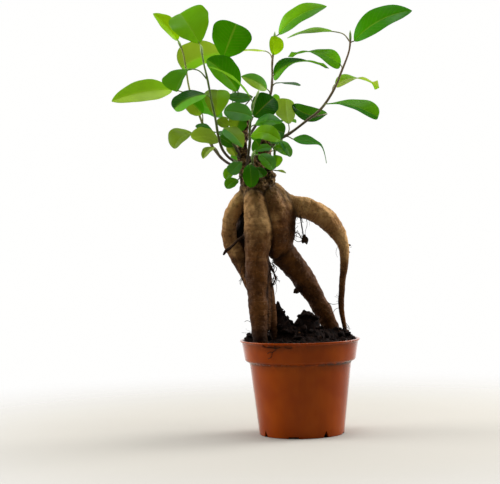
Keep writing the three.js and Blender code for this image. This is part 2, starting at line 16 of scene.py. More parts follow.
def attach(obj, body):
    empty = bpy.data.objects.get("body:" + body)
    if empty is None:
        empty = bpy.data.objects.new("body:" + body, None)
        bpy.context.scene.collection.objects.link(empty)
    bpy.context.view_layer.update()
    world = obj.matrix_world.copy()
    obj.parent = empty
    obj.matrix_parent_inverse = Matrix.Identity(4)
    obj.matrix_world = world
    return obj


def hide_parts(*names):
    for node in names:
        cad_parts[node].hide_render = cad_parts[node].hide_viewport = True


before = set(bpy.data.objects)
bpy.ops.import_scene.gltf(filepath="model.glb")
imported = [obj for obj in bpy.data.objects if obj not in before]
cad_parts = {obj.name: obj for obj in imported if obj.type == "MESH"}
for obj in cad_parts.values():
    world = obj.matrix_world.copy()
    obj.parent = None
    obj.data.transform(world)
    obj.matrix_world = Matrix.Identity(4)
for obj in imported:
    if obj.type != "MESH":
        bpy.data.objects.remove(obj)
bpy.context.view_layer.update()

MM = 0.001

# The plant leans to its right by LEAN degrees, and its foot stands at x = STAND
LEAN = 1.3
STAND = -1.2

# Pot. A drain is (width, height, how far its sides lean in), cut into the foot of the wall.
POT_HEIGHT = 71
LIP_RADIUS = 45
LIP_DEPTH = 1.1
BAND_TOP_RADIUS = 43.6
BAND_FOOT_RADIUS = 41.7
BAND_FOOT = 56.5
BODY_TOP = 54
BODY_TOP_RADIUS = 38.1
FOOT_RADIUS = 31.8
UNDERSIDE = 1.6
FLOOR_TOP = 3.2
WALL = 1.1
DRAIN_PAIRS = 4
DRAIN_TURN = -58
DRAIN = (6, 5, 3)
SLIT = (9, 1.4, 1)

# Soil: its level at the wall, and mounds as (x, y, height, spread, power). A high power makes a flat clod.
SOIL_FOOT = 3.3
SOIL_LEVEL = 69.5
SOIL_RADIUS = 41.6
MOUNDS = [
    (1, 5, 11.5, 20, 2.4), (-17.5, -6, 17.5, 5, 2.4), (-12, -5, 11, 7.5, 2.2), (7.3, 1, 9.5, 8.3, 9),
    (25, 12, 4, 10, 2), (-28, 20, 3.5, 14, 2), (4, 32, 3, 14, 2), (30, 20, 2.5, 12, 2), (-35, -4, 6, 6, 2),
    (35.5, 6, 4.5, 6, 2),
]

# Clods as (x, y, z, size)
CLODS = [
    (-17.2, -6.6, 95.2, 3.2), (-14.5, -7, 93.6, 2.4), (-12, -7, 91, 2.6), (-9.4, -7, 87.6, 2.2),
    (-6.5, -6, 84.4, 2.4), (-3.2, -4, 82.4, 2), (0.6, -4, 88.2, 2.4), (4.5, -5, 89.6, 2.2), (9, -4, 89, 2.4),
    (12.5, -4, 87, 2.6), (-25.5, -9, 74, 3.4), (-25, -9, 79, 2.8), (-25.6, -8, 84, 2.4), (-15, -13, 82, 3),
    (-12, -14, 78, 3), (-6, -16, 77, 2.8), (3, -15, 80, 3.2), (14, -12, 80, 3.4), (20, -16, 75, 3),
    (-3, -24, 74, 2.6), (31, -6, 74.5, 2.8), (36, 2, 74.6, 2.4), (-38, -8, 74.4, 2.2), (-37, 4, 74.6, 2.6),
]

# Threads of root that hang over the rim, as points of their middle line, and their radius
THREADS = [
    [
        (-19, -38, 71.4), (-19.6, -39.4, 68.4), (-18.8, -39.6, 66.6), (-21.4, -38, 64.2), (-22, -37.4, 61.2),
        (-24.6, -35.4, 59.4),
    ],
    [(-21.4, -38, 64.2), (-23.4, -36.8, 64.6), (-25, -35.6, 63.2)],
    [(-29, -32.6, 70), (-26.6, -35, 67.8), (-23.4, -37.2, 68), (-19, -39.6, 67.4), (-15.6, -41, 68)],
    [(-12.6, -42, 68.2), (-9.6, -42.8, 67.2), (-7, -43.2, 67.8)],
]
THREAD = 0.24

# Thick roots and crown as knots (x, y, z, radius). SAWN ones end in a flat cut.
ROOTS = {
    "frontLeg": [
        (-33, -3, 183, 7), (-34, -8, 174, 8.5), (-33, -11, 163, 9.5), (-32, -13, 151, 10), (-32, -14, 141, 9.5),
        (-33, -15, 131, 8.7), (-32.5, -16, 118, 8), (-32.5, -17, 105, 7.4), (-31.4, -18, 90, 6.8),
        (-30.8, -18.5, 75, 5.9), (-28.5, -17, 62, 4.6), (-25, -14, 48, 3),
    ],
    "leftRoot": [
        (-40.2, 0, 180, 6), (-47.2, -1, 172, 6.1), (-52, -1, 163, 5.7), (-53.6, 1, 153, 5.2), (-52.5, 3, 143, 5.8),
        (-46.5, 4, 133, 6.1), (-42, 3, 123, 5.4), (-39.4, 0, 114.5, 4.3), (-34, -7, 104, 2.8),
    ],
    "heart": [(-38, 8, 180, 8), (-41, 11, 166, 8), (-42, 11, 152, 8), (-40, 9, 140, 7.5), (-36, 4, 128, 6)],
    "knob": [(-24, -4, 178, 8.2), (-19, -7, 168, 8.2), (-18, -8, 156, 7.6), (-18, -6, 145, 6.4), (-20, -3, 135, 4)],
    "middle": [
        (-20, 2, 180, 8.2), (-12, 1, 169, 8.6), (-11, 1, 159, 7.3), (-11.2, 2, 149, 7.8), (-14, 4, 139, 7.8),
    ],
    "backLeg": [
        (-20, 5, 148, 9), (-11, 8, 134, 9.9), (-3, 10, 123, 8.9), (4, 12, 113, 8.2), (10, 13, 105, 7.5),
        (15, 14, 96, 6.9), (19, 15, 88, 6.6), (23, 16, 80, 6.2), (26, 15, 70, 5.5), (27, 13, 60, 4.2),
        (24, 11, 48, 3),
    ],
    "arm": [
        (-26, 2, 181, 6.8), (-16, 2, 176.5, 6.9), (-4, 2, 171.6, 7.1), (4, 3, 169, 7.8), (12, 4, 166, 8.2),
        (19, 5, 161, 8), (25.5, 6, 154.4, 7), (30.6, 7, 146.3, 5.3), (33.3, 8, 138, 3.8), (33.4, 9, 128, 3.1),
        (32.4, 9, 118, 2.7), (31.5, 9, 107, 2.4), (31, 9, 97, 2.3), (32, 9, 88, 2), (33.8, 9, 79, 1.7),
        (34.6, 9, 71, 1.4), (34, 8, 60, 1),
    ],
    "side": [
        (-28, -10, 132, 4), (-25.5, -11, 119, 3.6), (-23.5, -11.5, 108, 3.4), (-22.4, -12, 98, 3.3),
        (-21.2, -12, 90, 3.2), (-20.6, -12, 81, 3), (-19.4, -12, 71, 2.4), (-17, -11, 59, 1.5),
    ],
    "web": [
        (-28, -14, 124, 4), (-26.4, -14.5, 112, 3.6), (-25.6, -15, 100, 3.2), (-25.2, -15, 90, 2.8),
        (-25, -15, 80, 2),
    ],
    "twig": [
        (-40, -14, 150, 1.2), (-47, -13, 145, 1), (-52, -11, 140, 1.1), (-55.5, -10, 137.5, 1.3),
        (-57.5, -9, 134.5, 0.8),
    ],
    "hook": [(-26, -12, 131, 1.5), (-21, -14, 123, 0.8), (-19, -15, 117, 0.7), (-21, -15, 112, 0.6)],
    "nub": [(1, 8, 111, 2.4), (-2.8, 6, 106.8, 2.1)],
    "crown": [(-32, 0, 172, 11), (-32, 0, 180, 12.4), (-32, 0, 187, 11.6), (-33, 0, 194, 9.4), (-35, 0, 201, 6.6)],
    "leftTrunk": [
        (-36, -1, 187, 8.2), (-41, -2, 198, 6), (-43, -2, 208, 4.5), (-44, -1, 219, 3.7), (-42, 1, 229, 3.2),
        (-41, 2, 236, 2.6),
    ],
    "rightTrunk": [
        (-30, 2, 187, 8.2), (-28, 3, 198, 6.4), (-27, 3, 208, 5.2), (-26, 3, 216, 4.5), (-25, 3, 221, 4.1),
    ],
    "stump": [(-26.5, -2, 185, 4.4), (-22.8, -3, 191, 3.2), (-20.8, -4, 195.2, 2.8)],
}
SAWN = ("rightTrunk", "stump")
ROOTLETS = ("twig", "hook", "nub")

# The height below which a limb's bark is dark brown: partly the bark's own colour, partly painted shade, which is
# why it stands high on the knob, the middle and the heart
BROWN_AND_SHADE_BELOW = {"frontLeg": 147, "leftRoot": 126, "arm": 122, "knob": 176, "middle": 184, "heart": 180}
BROWN_AND_SHADE_ELSEWHERE = 158

# How far the skins of two limbs run together: where a sharp crease stays, and where they grew into one bulge
CREASED = 0.9
FUSED = 2.6

# Hair roots, as points of their middle line and a radius
HAIRS = [
    ([(-1, 1, 168), (0, -1, 161), (1, -1, 156), (2, -1, 150), (2.6, 0, 146)], 0.55),
    ([(1, 2, 164), (0.5, -1, 157), (1.5, -1, 151)], 0.35),
    ([(4, 2, 163), (5, 0, 157), (3.5, -1, 151), (4, -1, 147)], 0.25),
    ([(-6, 0, 150), (-3, -2, 151), (0, -2, 148), (1, -2, 145), (-2, -3, 144), (-5, -2, 146), (-7, 0, 148)], 0.4),
    ([(-13, 0, 131), (-21, -6, 128), (-18, -8, 124), (-21, -9, 120), (-24, -9, 122)], 0.35),
    ([(-24, -8, 128), (-20, -10, 121), (-18, -10, 116), (-20, -10, 112), (-23, -10, 114), (-24, -9, 118)], 0.35),
    ([(-24, -9, 118), (-19, -11, 114), (-18, -11, 109), (-19, -11, 105)], 0.22),
    ([(29, 8, 142), (27, 7, 136), (28, 6, 132)], 0.18),
    ([(20, 12, 98), (25, 10, 96.5), (31, 9, 97.5)], 0.3),
    ([(31, 9, 94), (27, 9, 93), (25, 11, 90), (24, 13, 88)], 0.25),
    ([(32, 9, 99), (28, 8, 103), (26, 8, 102)], 0.15),
    ([(-44, -2, 127), (-45, -5, 122), (-44, -6, 117), (-45, -7, 112)], 0.35),
    ([(-43, -1, 124), (-42, -5, 118), (-44, -6, 115)], 0.25),
    ([(-36, -20, 84), (-40, -21, 86), (-42, -21, 85)], 0.25),
    ([(-35, -20, 78), (-40, -22, 77), (-44, -23, 77.5)], 0.18),
    ([(35, 9, 82), (37, 7, 79), (36.5, 6, 75)], 0.25),
    ([(38, 9, 141), (36, 8, 142), (34, 8, 141)], 0.7),
    ([(37.5, 8, 136), (35.5, 8, 136)], 0.5),
]

# Round ends of hair roots as (x, y, z, radius)
BUDS = [
    (2.6, 0, 147.2, 2), (3.4, -0.4, 145, 2.3), (1.8, 0.4, 143.8, 1.6), (-3.6, 5.4, 106.6, 2), (4.4, 0, 143.2, 1.2),
]

# Bunches of fine hair roots: where they start, where they head, their length, number and radius
WISPS = [
    ((0, 1, 163), (0.1, -0.1, -1), 13, 4, 0.2),
    ((-4, 0, 150), (0.7, -0.3, -0.5), 10, 5, 0.3),
    ((2, 0, 149), (-0.3, -0.2, -1), 7, 4, 0.25),
    ((5, 2, 162), (0.1, 0, -1), 8, 2, 0.13),
    ((-21, -6, 128), (0.2, -0.1, -1), 9, 7, 0.3),
    ((-19, -9, 119), (0.1, -0.1, -1), 9, 6, 0.25),
    ((-44, 0, 119), (-0.2, -0.2, -1), 7, 4, 0.22),
    ((31, 9, 99), (-0.8, -0.1, -0.2), 7, 3, 0.15),
    ((34, 9, 76), (0.2, -0.1, -1), 6, 4, 0.22),
    ((35, 8, 78), (0.8, -0.1, 0), 4, 3, 0.18),
    ((-36, -20, 84), (-1, -0.1, 0.1), 6, 1, 0.14),
    ((-36, -20, 76), (-1, 0.2, 0.1), 8, 1, 0.12),
    ((38, 8, 139), (0.5, 0, -1), 4, 2, 0.1),
]

# What a hair root's bark shows: how brown (its own colour and painted shade), how dark and how far along, and how
# much painted shade and how rough
HAIR_MARKS = {"bark": (0.6, 0.9, 0), "skin": (0, 0.2, 0)}

# Outlines of the blades: how fast the edge rises from the base and falls to the tip
ROUNDED = (0.85, 0.36)
OVAL = (0.65, 0.56)
POINTED = (0.66, 0.8)
BLUNT = (0.75, 0.32)
SHIELD = (0.6, 0.3)
DROOPING = (0.4, 1.6)
HOOKED = (0.9, 2)

# Leaf colours, as screen red, green and blue from 0 to 255. Where a leaf's two halves take different colours, they
# partly paint the light, shade and sheen on the two sides of its fold.
LIME = (130, 184, 6)
GLOW = (112, 176, 14)
FRESH = (94, 164, 16)
# Painted sheen: a bright green with the pale reflection of a glossy leaf painted in
GLOSS = (104, 184, 56)
GRASS = (66, 142, 16)
DEEP = (28, 112, 0)
DARK = (28, 98, 14)
INK = (8, 72, 0)
# Painted sheen: a leaf green with the blue reflection of the sky painted in
SHEEN_BLUE = (70, 142, 72)
SPRUCE = (156, 196, 78)
LIGHT = (112, 170, 26)
MOSS = (132, 172, 74)
OLIVE = (108, 144, 46)
PALE = (158, 190, 110)

# Stem colours
WOOD = (74, 54, 36)
STRAW = (168, 176, 84)
SPRING = (118, 150, 56)
BLUSH = (142, 118, 86)
ASH = (104, 94, 66)

# Radii of a stem, and the length of the pale bud at its tip
STEM_FOOT = 1.15
STEM_TIP = 0.6
BUD_LENGTH = 8

# Blades: half the thickness, the part of the length where a hooked tip starts to bend, and columns from rib to edge
HALF_BLADE = 0.2
HOOK_START = 0.7
COLUMNS = np.array([0, 0.04, 0.1, 0.22, 0.4, 0.6, 0.8, 0.95, 1])

# Side veins: how many there are on each half of a blade, and by how many places they reach ahead at the edge
SIDE_VEINS = 11
VEIN_SWEEP = 2.6


def leaf(base, tip, wide, faces, form, tone, other=None, **bends):
    """A blade from base to tip, wide across, with its upper side towards faces and a colour for each half, which is
    partly its own colour and partly painted light and shade on that half.
    """
    return dict(base=base, tip=tip, wide=wide, faces=faces, form=form, tones=(tone, other or tone), **bends)


# Leafy stems: the colours of foot and tip, the stem's knots and its leaves. A blade bows by arch times its length,
# folds up by fold degrees and turns by twist degrees about its rib. Skew widens one half, flag is the width of a
# small lobe before the tip, and hook the part of the length by which the tip bends down.
SHOOTS = {
    "shoot_a": (WOOD, SPRING, [
        (-42, -4, 200), (-47, -10, 203), (-53, -15, 206), (-58, -19, 212), (-61, -21, 221), (-63, -22, 233),
        (-66, -23, 247), (-69, -23, 263), (-72, -23, 276), (-74, -22, 289),
    ], [
        leaf((-75, -21, 290), (-89.5, -14, 313), 30.5, (0.1, -1, 0.25), BLUNT, FRESH, arch=0.08, skew=0.15),
        leaf((-83, -22, 271), (-92, -27, 254), 16, (-0.35, -0.85, 0.35), ROUNDED, GRASS, skew=0.7),
        leaf((-70, -29, 251.7), (-93, -35, 240.5), 18.5, (-0.1, -0.65, 0.75), SHIELD, GLOSS, INK, arch=0.12),
        leaf((-63, -14, 236), (-62, -7, 257), 19, (0, -1, 0.3), ROUNDED, OLIVE, LIGHT, arch=0.15),
        leaf((-61, -14, 218.5), (-82, -9, 222.5), 16, (0, 0.7, 0.7), OVAL, OLIVE, arch=0.12),
    ]),
    "shoot_b": (WOOD, STRAW, [
        (-43, 0, 200), (-50, 4, 201), (-57, 8, 205), (-62, 11, 210), (-67, 14, 217), (-71, 16, 226), (-76, 17, 239),
        (-80, 18, 249), (-84, 19, 260), (-87, 20, 278), (-89, 20, 288), (-93, 20, 298),
    ], [
        leaf((-93, 20, 297), (-111.5, 16, 317), 15, (0.45, -0.75, 0.45), POINTED, LIME, arch=0.06, fold=22),
        leaf((-97, 16, 259.2), (-142, 4, 249.4), 20, (0, -0.85, 0.5), POINTED, SPRUCE, LIGHT, arch=0.08, fold=12),
        leaf((-74, 12, 240.5), (-86, 6, 252), 13, (-0.3, -0.9, 0.3), OVAL, OLIVE, DEEP),
        leaf((-81.5, 6, 226), (-95, 0, 213.8), 17.5, (-0.3, -0.7, 0.6), OVAL, OLIVE, arch=0.2, skew=0.3),
        leaf((-66, 6, 226), (-79, 6, 231), 9, (0, -0.6, 0.8), OVAL, DARK),
        leaf((-65, 4, 215), (-73, -2, 206), 10, (-0.3, -0.5, 0.8), POINTED, PALE, OLIVE, arch=0.15),
    ]),
    "shoot_c": (WOOD, SPRING, [
        (-45, 2, 213), (-46, 5, 223), (-45, 6, 235), (-46, 7, 245), (-48, 8, 253), (-52, 9, 266), (-56, 9, 277),
        (-58, 9, 283),
    ], [
        leaf((-58, 9, 283), (-48, 2, 307.5), 30.5, (0.05, -1, 0.2), BLUNT, DEEP, arch=0.06),
        leaf((-55, 13, 287), (-91, 30, 277.5), 23, (-0.1, 0.8, 0.6), ROUNDED, OLIVE, FRESH, arch=0.15, skew=-0.3),
        leaf((-47, 1, 257), (-70, -8, 279.5), 20.5, (0.15, -0.9, 0.4), OVAL, GRASS, DEEP, skew=0.25),
        leaf((-36, 3, 253), (-55, -2, 252), 13, (0, -0.65, 0.75), OVAL, DARK, arch=-0.08),
    ]),
    "shoot_d": (WOOD, BLUSH, [
        (-42, 1, 218), (-37, 6, 226), (-31, 10, 236), (-26, 14, 247), (-22, 16, 257), (-21, 16, 267),
        (-21, 16, 279), (-20, 15, 290), (-19, 14, 303),
    ], [
        leaf((-26, 20, 289), (-50, 28, 290), 10, (0, 0.05, 1), POINTED, PALE, arch=0.03, fold=0),
        leaf((-20, 12, 285), (-21, 8, 299), 11, (0.2, -0.95, 0.1), OVAL, LIME, arch=0.05, fold=18, skew=0.4),
        leaf((-16, 14, 301), (20, 6, 321), 17.5, (-0.35, -0.8, 0.5), POINTED, FRESH, GRASS, arch=0.16, fold=10),
        leaf((-20, 10, 269.5), (21, -7, 273), 16, (0, -0.3, 1), DROOPING,
             INK, GRASS, arch=0.18, twist=-140, flag=4),
        leaf((-18, 12, 264), (-1, -10, 260), 11, (0.1, -0.3, 1), OVAL, DARK, arch=0.04, fold=0),
        leaf((-25, 13, 259.5), (-44.5, 2, 268), 12, (-0.1, -0.9, 0.4), POINTED, MOSS, SHEEN_BLUE),
    ]),
    "shoot_e": (ASH, BLUSH, [
        (-26, 0, 210), (-21, -2, 216), (-15, -4, 221), (-8, -5, 225), (4, -6, 234), (15, -6, 243), (25, -5, 258),
        (30, -4, 270), (36, -3, 286), (37, -3, 293), (37, -3, 302),
    ], [
        leaf((40, -3, 294), (82.5, -10, 315.5), 21, (-0.2, -0.85, 0.5), POINTED, DEEP, arch=0.16, skew=-0.1),
        leaf((24, 4, 302), (-9.5, 18, 298.6), 12, (0.05, -0.5, 0.95), POINTED, LIGHT, arch=0.09, fold=0),
        leaf((30, 0, 276.5), (-9, 14, 284), 13.5, (0, -0.4, 1), DROOPING, GRASS, arch=0.16, twist=130, flag=6),
        leaf((26, 2, 262), (60, 12, 260.3), 11, (0, -0.1, 1), DROOPING, LIGHT, PALE, arch=0.17, twist=-140, flag=8),
        leaf((19, -9, 246.6), (57, -15, 236.2), 14, (0.1, -0.6, 0.8), BLUNT, GRASS, DEEP, twist=70, skew=-0.3),
        leaf((20, 3, 240), (-6, 10, 247), 14, (0, -0.9, 0.5), OVAL, INK, DARK, arch=-0.26),
        leaf((-9, -2, 232), (-11, 8, 252), 18, (-0.3, 0.8, 0.2), ROUNDED, MOSS),
        leaf((-6, -8, 220.5), (21, -12, 214.3), 15, (0.1, -0.5, 0.85), HOOKED, DEEP, arch=0.03, hook=0.5),
    ]),
    "shoot_f": (WOOD, SPRING, [
        (-40, -4, 196), (-40, -11, 201), (-39, -16, 209), (-38, -19, 218), (-38, -19, 228), (-37, -18, 237),
        (-35, -15, 246), (-31, -11, 257),
    ], [
        leaf((-38, -20, 251), (-69, -22, 273), 10, (0.45, 0.1, 0.9), POINTED, FRESH, arch=0.11, fold=0),
        leaf((-36, -23, 236), (-57, -24, 240), 16, (-0.1, -0.9, 0.5), OVAL, SHEEN_BLUE),
        leaf((-35, -8, 237), (-20, 0, 252), 20, (0.1, -1, 0.3), OVAL, INK),
        leaf((-34, -12, 231), (-14, -16, 232), 13, (0, -0.7, 0.7), POINTED, SHEEN_BLUE, GRASS, arch=0.15),
        leaf((-37, -25, 222), (-16, -32, 218), 15, (0, -0.75, 0.6), OVAL, GLOW, arch=0.25),
        leaf((-29, -5, 228), (-12, -8, 225), 15, (0.1, -0.9, 0.4), ROUNDED, DARK),
    ]),
    "sprout_left": (WOOD, SPRING, [
        (-42, -1, 191), (-44, -8, 194), (-46, -13, 197), (-48, -15, 201), (-50, -16, 205),
    ], [
        leaf((-44, -20, 203), (-52, -24, 194), 11, (-0.2, -0.85, 0.5), ROUNDED, SHEEN_BLUE),
        leaf((-50, -13, 200), (-55.5, -16, 190), 9, (-0.3, -0.8, 0.5), OVAL, FRESH),
        leaf((-47, -13, 190), (-55.3, -17, 183.5), 10.5, (-0.1, -0.7, 0.7), OVAL, GRASS, arch=0.15),
    ]),
    "sprout_front": (WOOD, SPRING, [
        (-35, -4, 191), (-35, -11, 196), (-36, -17, 202), (-36, -20, 207), (-34, -19, 212),
    ], [
        leaf((-38, -23, 201), (-37, -27, 184), 12, (0.1, -0.95, 0.35), OVAL, DARK, DEEP, arch=0.12),
        leaf((-34, -16, 199), (-28, -20, 192), 9, (0.2, -0.8, 0.5), ROUNDED, DARK, SHEEN_BLUE),
        leaf((-33, -20, 211), (-22, -20, 213), 8, (0, -0.7, 0.7), OVAL, GRASS, SHEEN_BLUE, arch=0.15),
        leaf((-31, -24, 208), (-21, -28, 197), 12, (0.2, -0.8, 0.6), OVAL, SHEEN_BLUE, GRASS, arch=0.15),
    ]),
    "sprout_right": (WOOD, SPRING, [
        (-28, 0, 194), (-22, -6, 200), (-20, -9, 206), (-19, -10, 214), (-16, -9, 220),
    ], [
        leaf((-20, -13, 214), (-12, -15, 212), 9, (0, -0.8, 0.6), ROUNDED, GRASS),
        leaf((-15, -11, 219), (-8, -13, 207), 8, (0.3, -0.7, 0.6), OVAL, SHEEN_BLUE),
        leaf((-19, -14, 199), (-17, -16, 208), 8, (0, -1, 0.2), ROUNDED, GRASS, FRESH),
        leaf((-23, -13, 219), (-16, -16, 217), 6, (0, -0.8, 0.6), OVAL, SHEEN_BLUE),
        leaf((-18, -8, 197), (-11, -10, 195), 4, (0, -0.4, 0.9), POINTED, PALE, fold=0),
    ]),
    "sprout_inner": (WOOD, SPRING, [
        (-44, -3, 205), (-47, -8, 211), (-50, -12, 217), (-53, -16, 223), (-55, -19, 228),
    ], [
        leaf((-57, -27, 227), (-43, -33, 213), 14, (0.2, -0.8, 0.6), POINTED, MOSS, SHEEN_BLUE, arch=0.15),
        leaf((-50, -8, 215), (-61, -7, 222), 10, (0, -0.9, 0.4), OVAL, DARK),
        leaf((-48, -8, 208), (-54, -6, 217), 8, (-0.2, -0.9, 0.3), OVAL, PALE, OLIVE),
        leaf((-54, -11, 229), (-62, -9, 235), 9, (0, -0.8, 0.5), OVAL, OLIVE),
        leaf((-49, -9, 226), (-45, -11, 238), 14, (0.1, -0.95, 0.3), OVAL, OLIVE, DARK),
    ]),
    "sprout_back_left": (WOOD, SPRING, [
        (-36, 4, 197), (-40, 12, 205), (-46, 20, 217), (-51, 27, 231), (-55, 31, 245),
    ], [
        leaf((-51, 33, 262), (-55, 35, 279), 12, (-0.2, 0.8, 0.5), OVAL, GRASS),
        leaf((-59, 32, 240), (-84, 36, 249), 17, (-0.3, 0.6, 0.7), OVAL, DEEP, arch=0.15),
        leaf((-48, 32, 231), (-40, 48, 243), 16, (0.2, -0.3, 0.9), POINTED, DEEP, arch=0.15),
        leaf((-55, 24, 221), (-70, 36, 226), 14, (-0.3, 0.2, 0.9), OVAL, DARK, arch=0.2),
        leaf((-42, 22, 208), (-50, 36, 204), 13, (-0.1, 0.6, 0.8), OVAL, DEEP, GRASS, arch=0.2),
        leaf((-43, 10, 214), (-52, 8, 224), 13, (-0.2, -0.9, 0.3), OVAL, DARK, GRASS),
    ]),
    "sprout_back_right": (WOOD, SPRING, [
        (-27, 5, 198), (-25, 12, 206), (-22, 19, 217), (-22, 25, 230), (-26, 29, 243),
    ], [
        leaf((-26, 31, 247), (-15, 36, 252), 15, (0.3, 0.6, 0.8), ROUNDED, DEEP, GRASS, arch=0.15),
        leaf((-19, 30, 232), (-2, 44, 236), 15, (0.3, 0.3, 0.9), POINTED, DARK, arch=0.15),
        leaf((-26, 28, 222), (-34, 44, 222), 14, (-0.2, 0.4, 0.9), OVAL, DEEP, arch=0.2),
        leaf((-18, 20, 213), (-9, 32, 210), 13, (0.2, 0.5, 0.8), OVAL, DARK, DEEP, arch=0.2),
        leaf((-27, 14, 208), (-34, 10, 221), 14, (0.1, -0.95, 0.3), OVAL, DARK, INK),
        leaf((-22, 15, 216), (-17, 11, 228), 13, (0.2, -0.9, 0.3), OVAL, DEEP, DARK),
    ]),
}


# Numbers and curves

def linear(colour):
    """Screen red, green and blue from 0 to 255 as light."""
    part = np.array(colour, float) / 255
    return np.where(part <= 0.04045, part / 12.92, ((part + 0.055) / 1.055) ** 2.4)


def unit(vectors):
    vectors = np.asarray(vectors, float)
    return vectors / np.maximum(norm(vectors, axis=-1, keepdims=True), 1e-9)


def smooth(value, none, full):
    """An eased step from 0 where value is none to 1 where it is full."""
    part = np.clip((value - none) / (full - none), 0, 1)
    return part * part * (3 - 2 * part)


def hump(value, middle, width):
    return np.exp(-(((value - middle) / width) ** 2))


def ripple(points, scale, seed, waves=28):
    """Smooth noise with a spread of 1 and swells of about scale across: sine waves in random directions."""
    draw = np.random.default_rng(seed)
    runs = unit(draw.normal(size=(waves, 3))) * draw.uniform(0.6, 1.5, (waves, 1)) * 2 * math.pi / scale
    return np.sin(points @ runs.T + draw.uniform(0, 2 * math.pi, waves)).sum(1) / math.sqrt(waves / 2)


def spline(knots, steps):
    """A centripetal Catmull-Rom curve through rows that start with x, y and z."""
    knots = np.array(knots, float)
    rows = np.vstack([2 * knots[0] - knots[1], knots, 2 * knots[-1] - knots[-2]])
    gaps = np.sqrt(norm(np.diff(rows[:, :3], axis=0), axis=1))
    t = np.linspace(0, 1, steps, endpoint=False)[:, None]
    curve = []
    for i in range(len(knots) - 1):
        before, start, end, after = rows[i:i + 4]
        a, b, c = gaps[i:i + 3]
        leave = ((start - before) / a - (end - before) / (a + b) + (end - start) / b) * b
        arrive = ((end - start) / b - (after - start) / (b + c) + (after - end) / c) * b
        bend, ease = 3 * (end - start) - 2 * leave - arrive, 2 * (start - end) + leave + arrive
        curve.append(start + leave * t + bend * t**2 + ease * t**3)
    return np.vstack([*curve, knots[-1]])


def tapering(path, foot, tip):
    """Knots along a path, with radii from foot to tip."""
    return [(*point, foot + (tip - foot) * i / (len(path) - 1)) for i, point in enumerate(path)]


def turned(a, b, degrees):
    """Two coordinates, turned from the first axis towards the second."""
    cos, sin = math.cos(math.radians(degrees)), math.sin(math.radians(degrees))
    return a * cos - b * sin, a * sin + b * cos


# Shapes are (points, faces, marks). Marks holds three values for each point, by name.

def leaning(shape):
    """A shape of the upright plant, as it leans in the pot."""
    points, faces, marks = shape
    x, y, z = points.T
    z, x = turned(z, x, LEAN)
    return np.stack([x + STAND, y, z], 1), faces, marks


def together(shapes):
    faces, count = [], 0
    for points, own, _ in shapes:
        faces.extend(tuple(i + count for i in face) for face in own)
        count += len(points)
    marks = {name: np.vstack([shape[2][name] for shape in shapes]) for name in shapes[0][2]}
    return np.vstack([shape[0] for shape in shapes]), faces, marks


def closed(rings, sides):
    """Faces of a closed skin: a first point, rings with sides points each, and a last point."""
    faces, last = [], 1 + rings * sides
    for j in range(sides):
        n = (j + 1) % sides
        faces.append((0, 1 + n, 1 + j))
        for here in range(1, last - sides, sides):
            faces.append((here + j, here + n, here + sides + n, here + sides + j))
        faces.append((last, last - sides + j, last - sides + n))
    return faces


def around(sides):
    return 2 * math.pi * np.arange(sides) / sides


def level_ring(radius, height, sides):
    turn = around(sides)
    return np.stack([radius * np.sin(turn), -radius * np.cos(turn), np.full(sides, height)], 1)


def tube(knots, sides, ends=0.4):
    """A closed bar with round sections along rows (x, y, z, radius). Returns points, faces and each point's row."""
    rows = np.array(knots, float)
    path, radii = rows[:, :3], rows[:, 3]
    along = unit(np.gradient(path, axis=0))
    side = np.array([0.0, 1.0, 0.0])
    points = [path[0] - along[0] * ends * radii[0]]
    for centre, direction, radius in zip(path, along, radii):
        side = unit(side - direction * (side @ direction))
        across = np.cross(direction, side)
        points.extend(centre + radius * (math.cos(a) * side + math.sin(a) * across) for a in around(sides))
    points.append(path[-1] + along[-1] * ends * radii[-1])
    owner = np.repeat(np.arange(len(rows)), sides)
    return np.array(points), closed(len(rows), sides), np.array([0, *owner, len(rows) - 1])


def lathe(profile, sides):
    """A closed turned solid from a profile of (radius, height) that starts and ends on the axis."""
    (_, foot), *rings, (_, top) = profile
    skin = [level_ring(radius, height, sides) for radius, height in rings]
    return np.vstack([[(0, 0, foot)], *skin, [(0, 0, top)]]), closed(len(rings), sides)


def rounded(corners, radii, steps=5):
    """A profile with its inner corners rounded: an arc, drawn as a parabola, of the given reach at each corner."""
    corners = [np.array(corner, float) for corner in corners]
    rows = [corners[0]]
    for before, corner, after, radius in zip(corners, corners[1:], corners[2:], radii):
        into, out = before - corner, after - corner
        reach = min(radius, 0.45 * norm(into), 0.45 * norm(out))
        start, end = corner + unit(into) * reach, corner + unit(out) * reach
        for t in np.linspace(0, 1, steps if reach > 0.05 else 1):
            rows.append((1 - t) ** 2 * start + 2 * t * (1 - t) * corner + t**2 * end)
    return [(float(radius), float(height)) for radius, height in [*rows, corners[-1]]]


def lump(centre, size, seed, flat=0.75):
    """An irregular crumb."""
    body = bmesh.new()
    bmesh.ops.create_icosphere(body, subdivisions=2, radius=1)
    points = np.array([vertex.co for vertex in body.verts])
    faces = [tuple(vertex.index for vertex in face.verts) for face in body.faces]
    body.free()
    points = points * (1 + 0.22 * ripple(points, 1.6, seed)[:, None])
    points *= np.random.default_rng(seed).uniform(0.6, 1.15, 3) * (1, 1, flat)
    return points * size + centre, faces


# Objects

def placed(name, data):
    made = bpy.data.objects.new(name, data)
    bpy.context.scene.collection.objects.link(made)
    return made


def solid(name, points, faces, marks=None):
    """A mesh in metres with its faces turned outwards."""
    mesh = bpy.data.meshes.new(name)
    mesh.from_pydata((points * MM).tolist(), [], faces)
    for mark, values in (marks or {}).items():
        attribute = mesh.attributes.new(mark, "FLOAT_VECTOR", "POINT")
        attribute.data.foreach_set("vector", np.ascontiguousarray(values, np.float32).ravel())
    body = bmesh.new()
    body.from_mesh(mesh)
    bmesh.ops.recalc_face_normals(body, faces=body.faces)
    body.to_mesh(mesh)
    body.free()
    return mesh


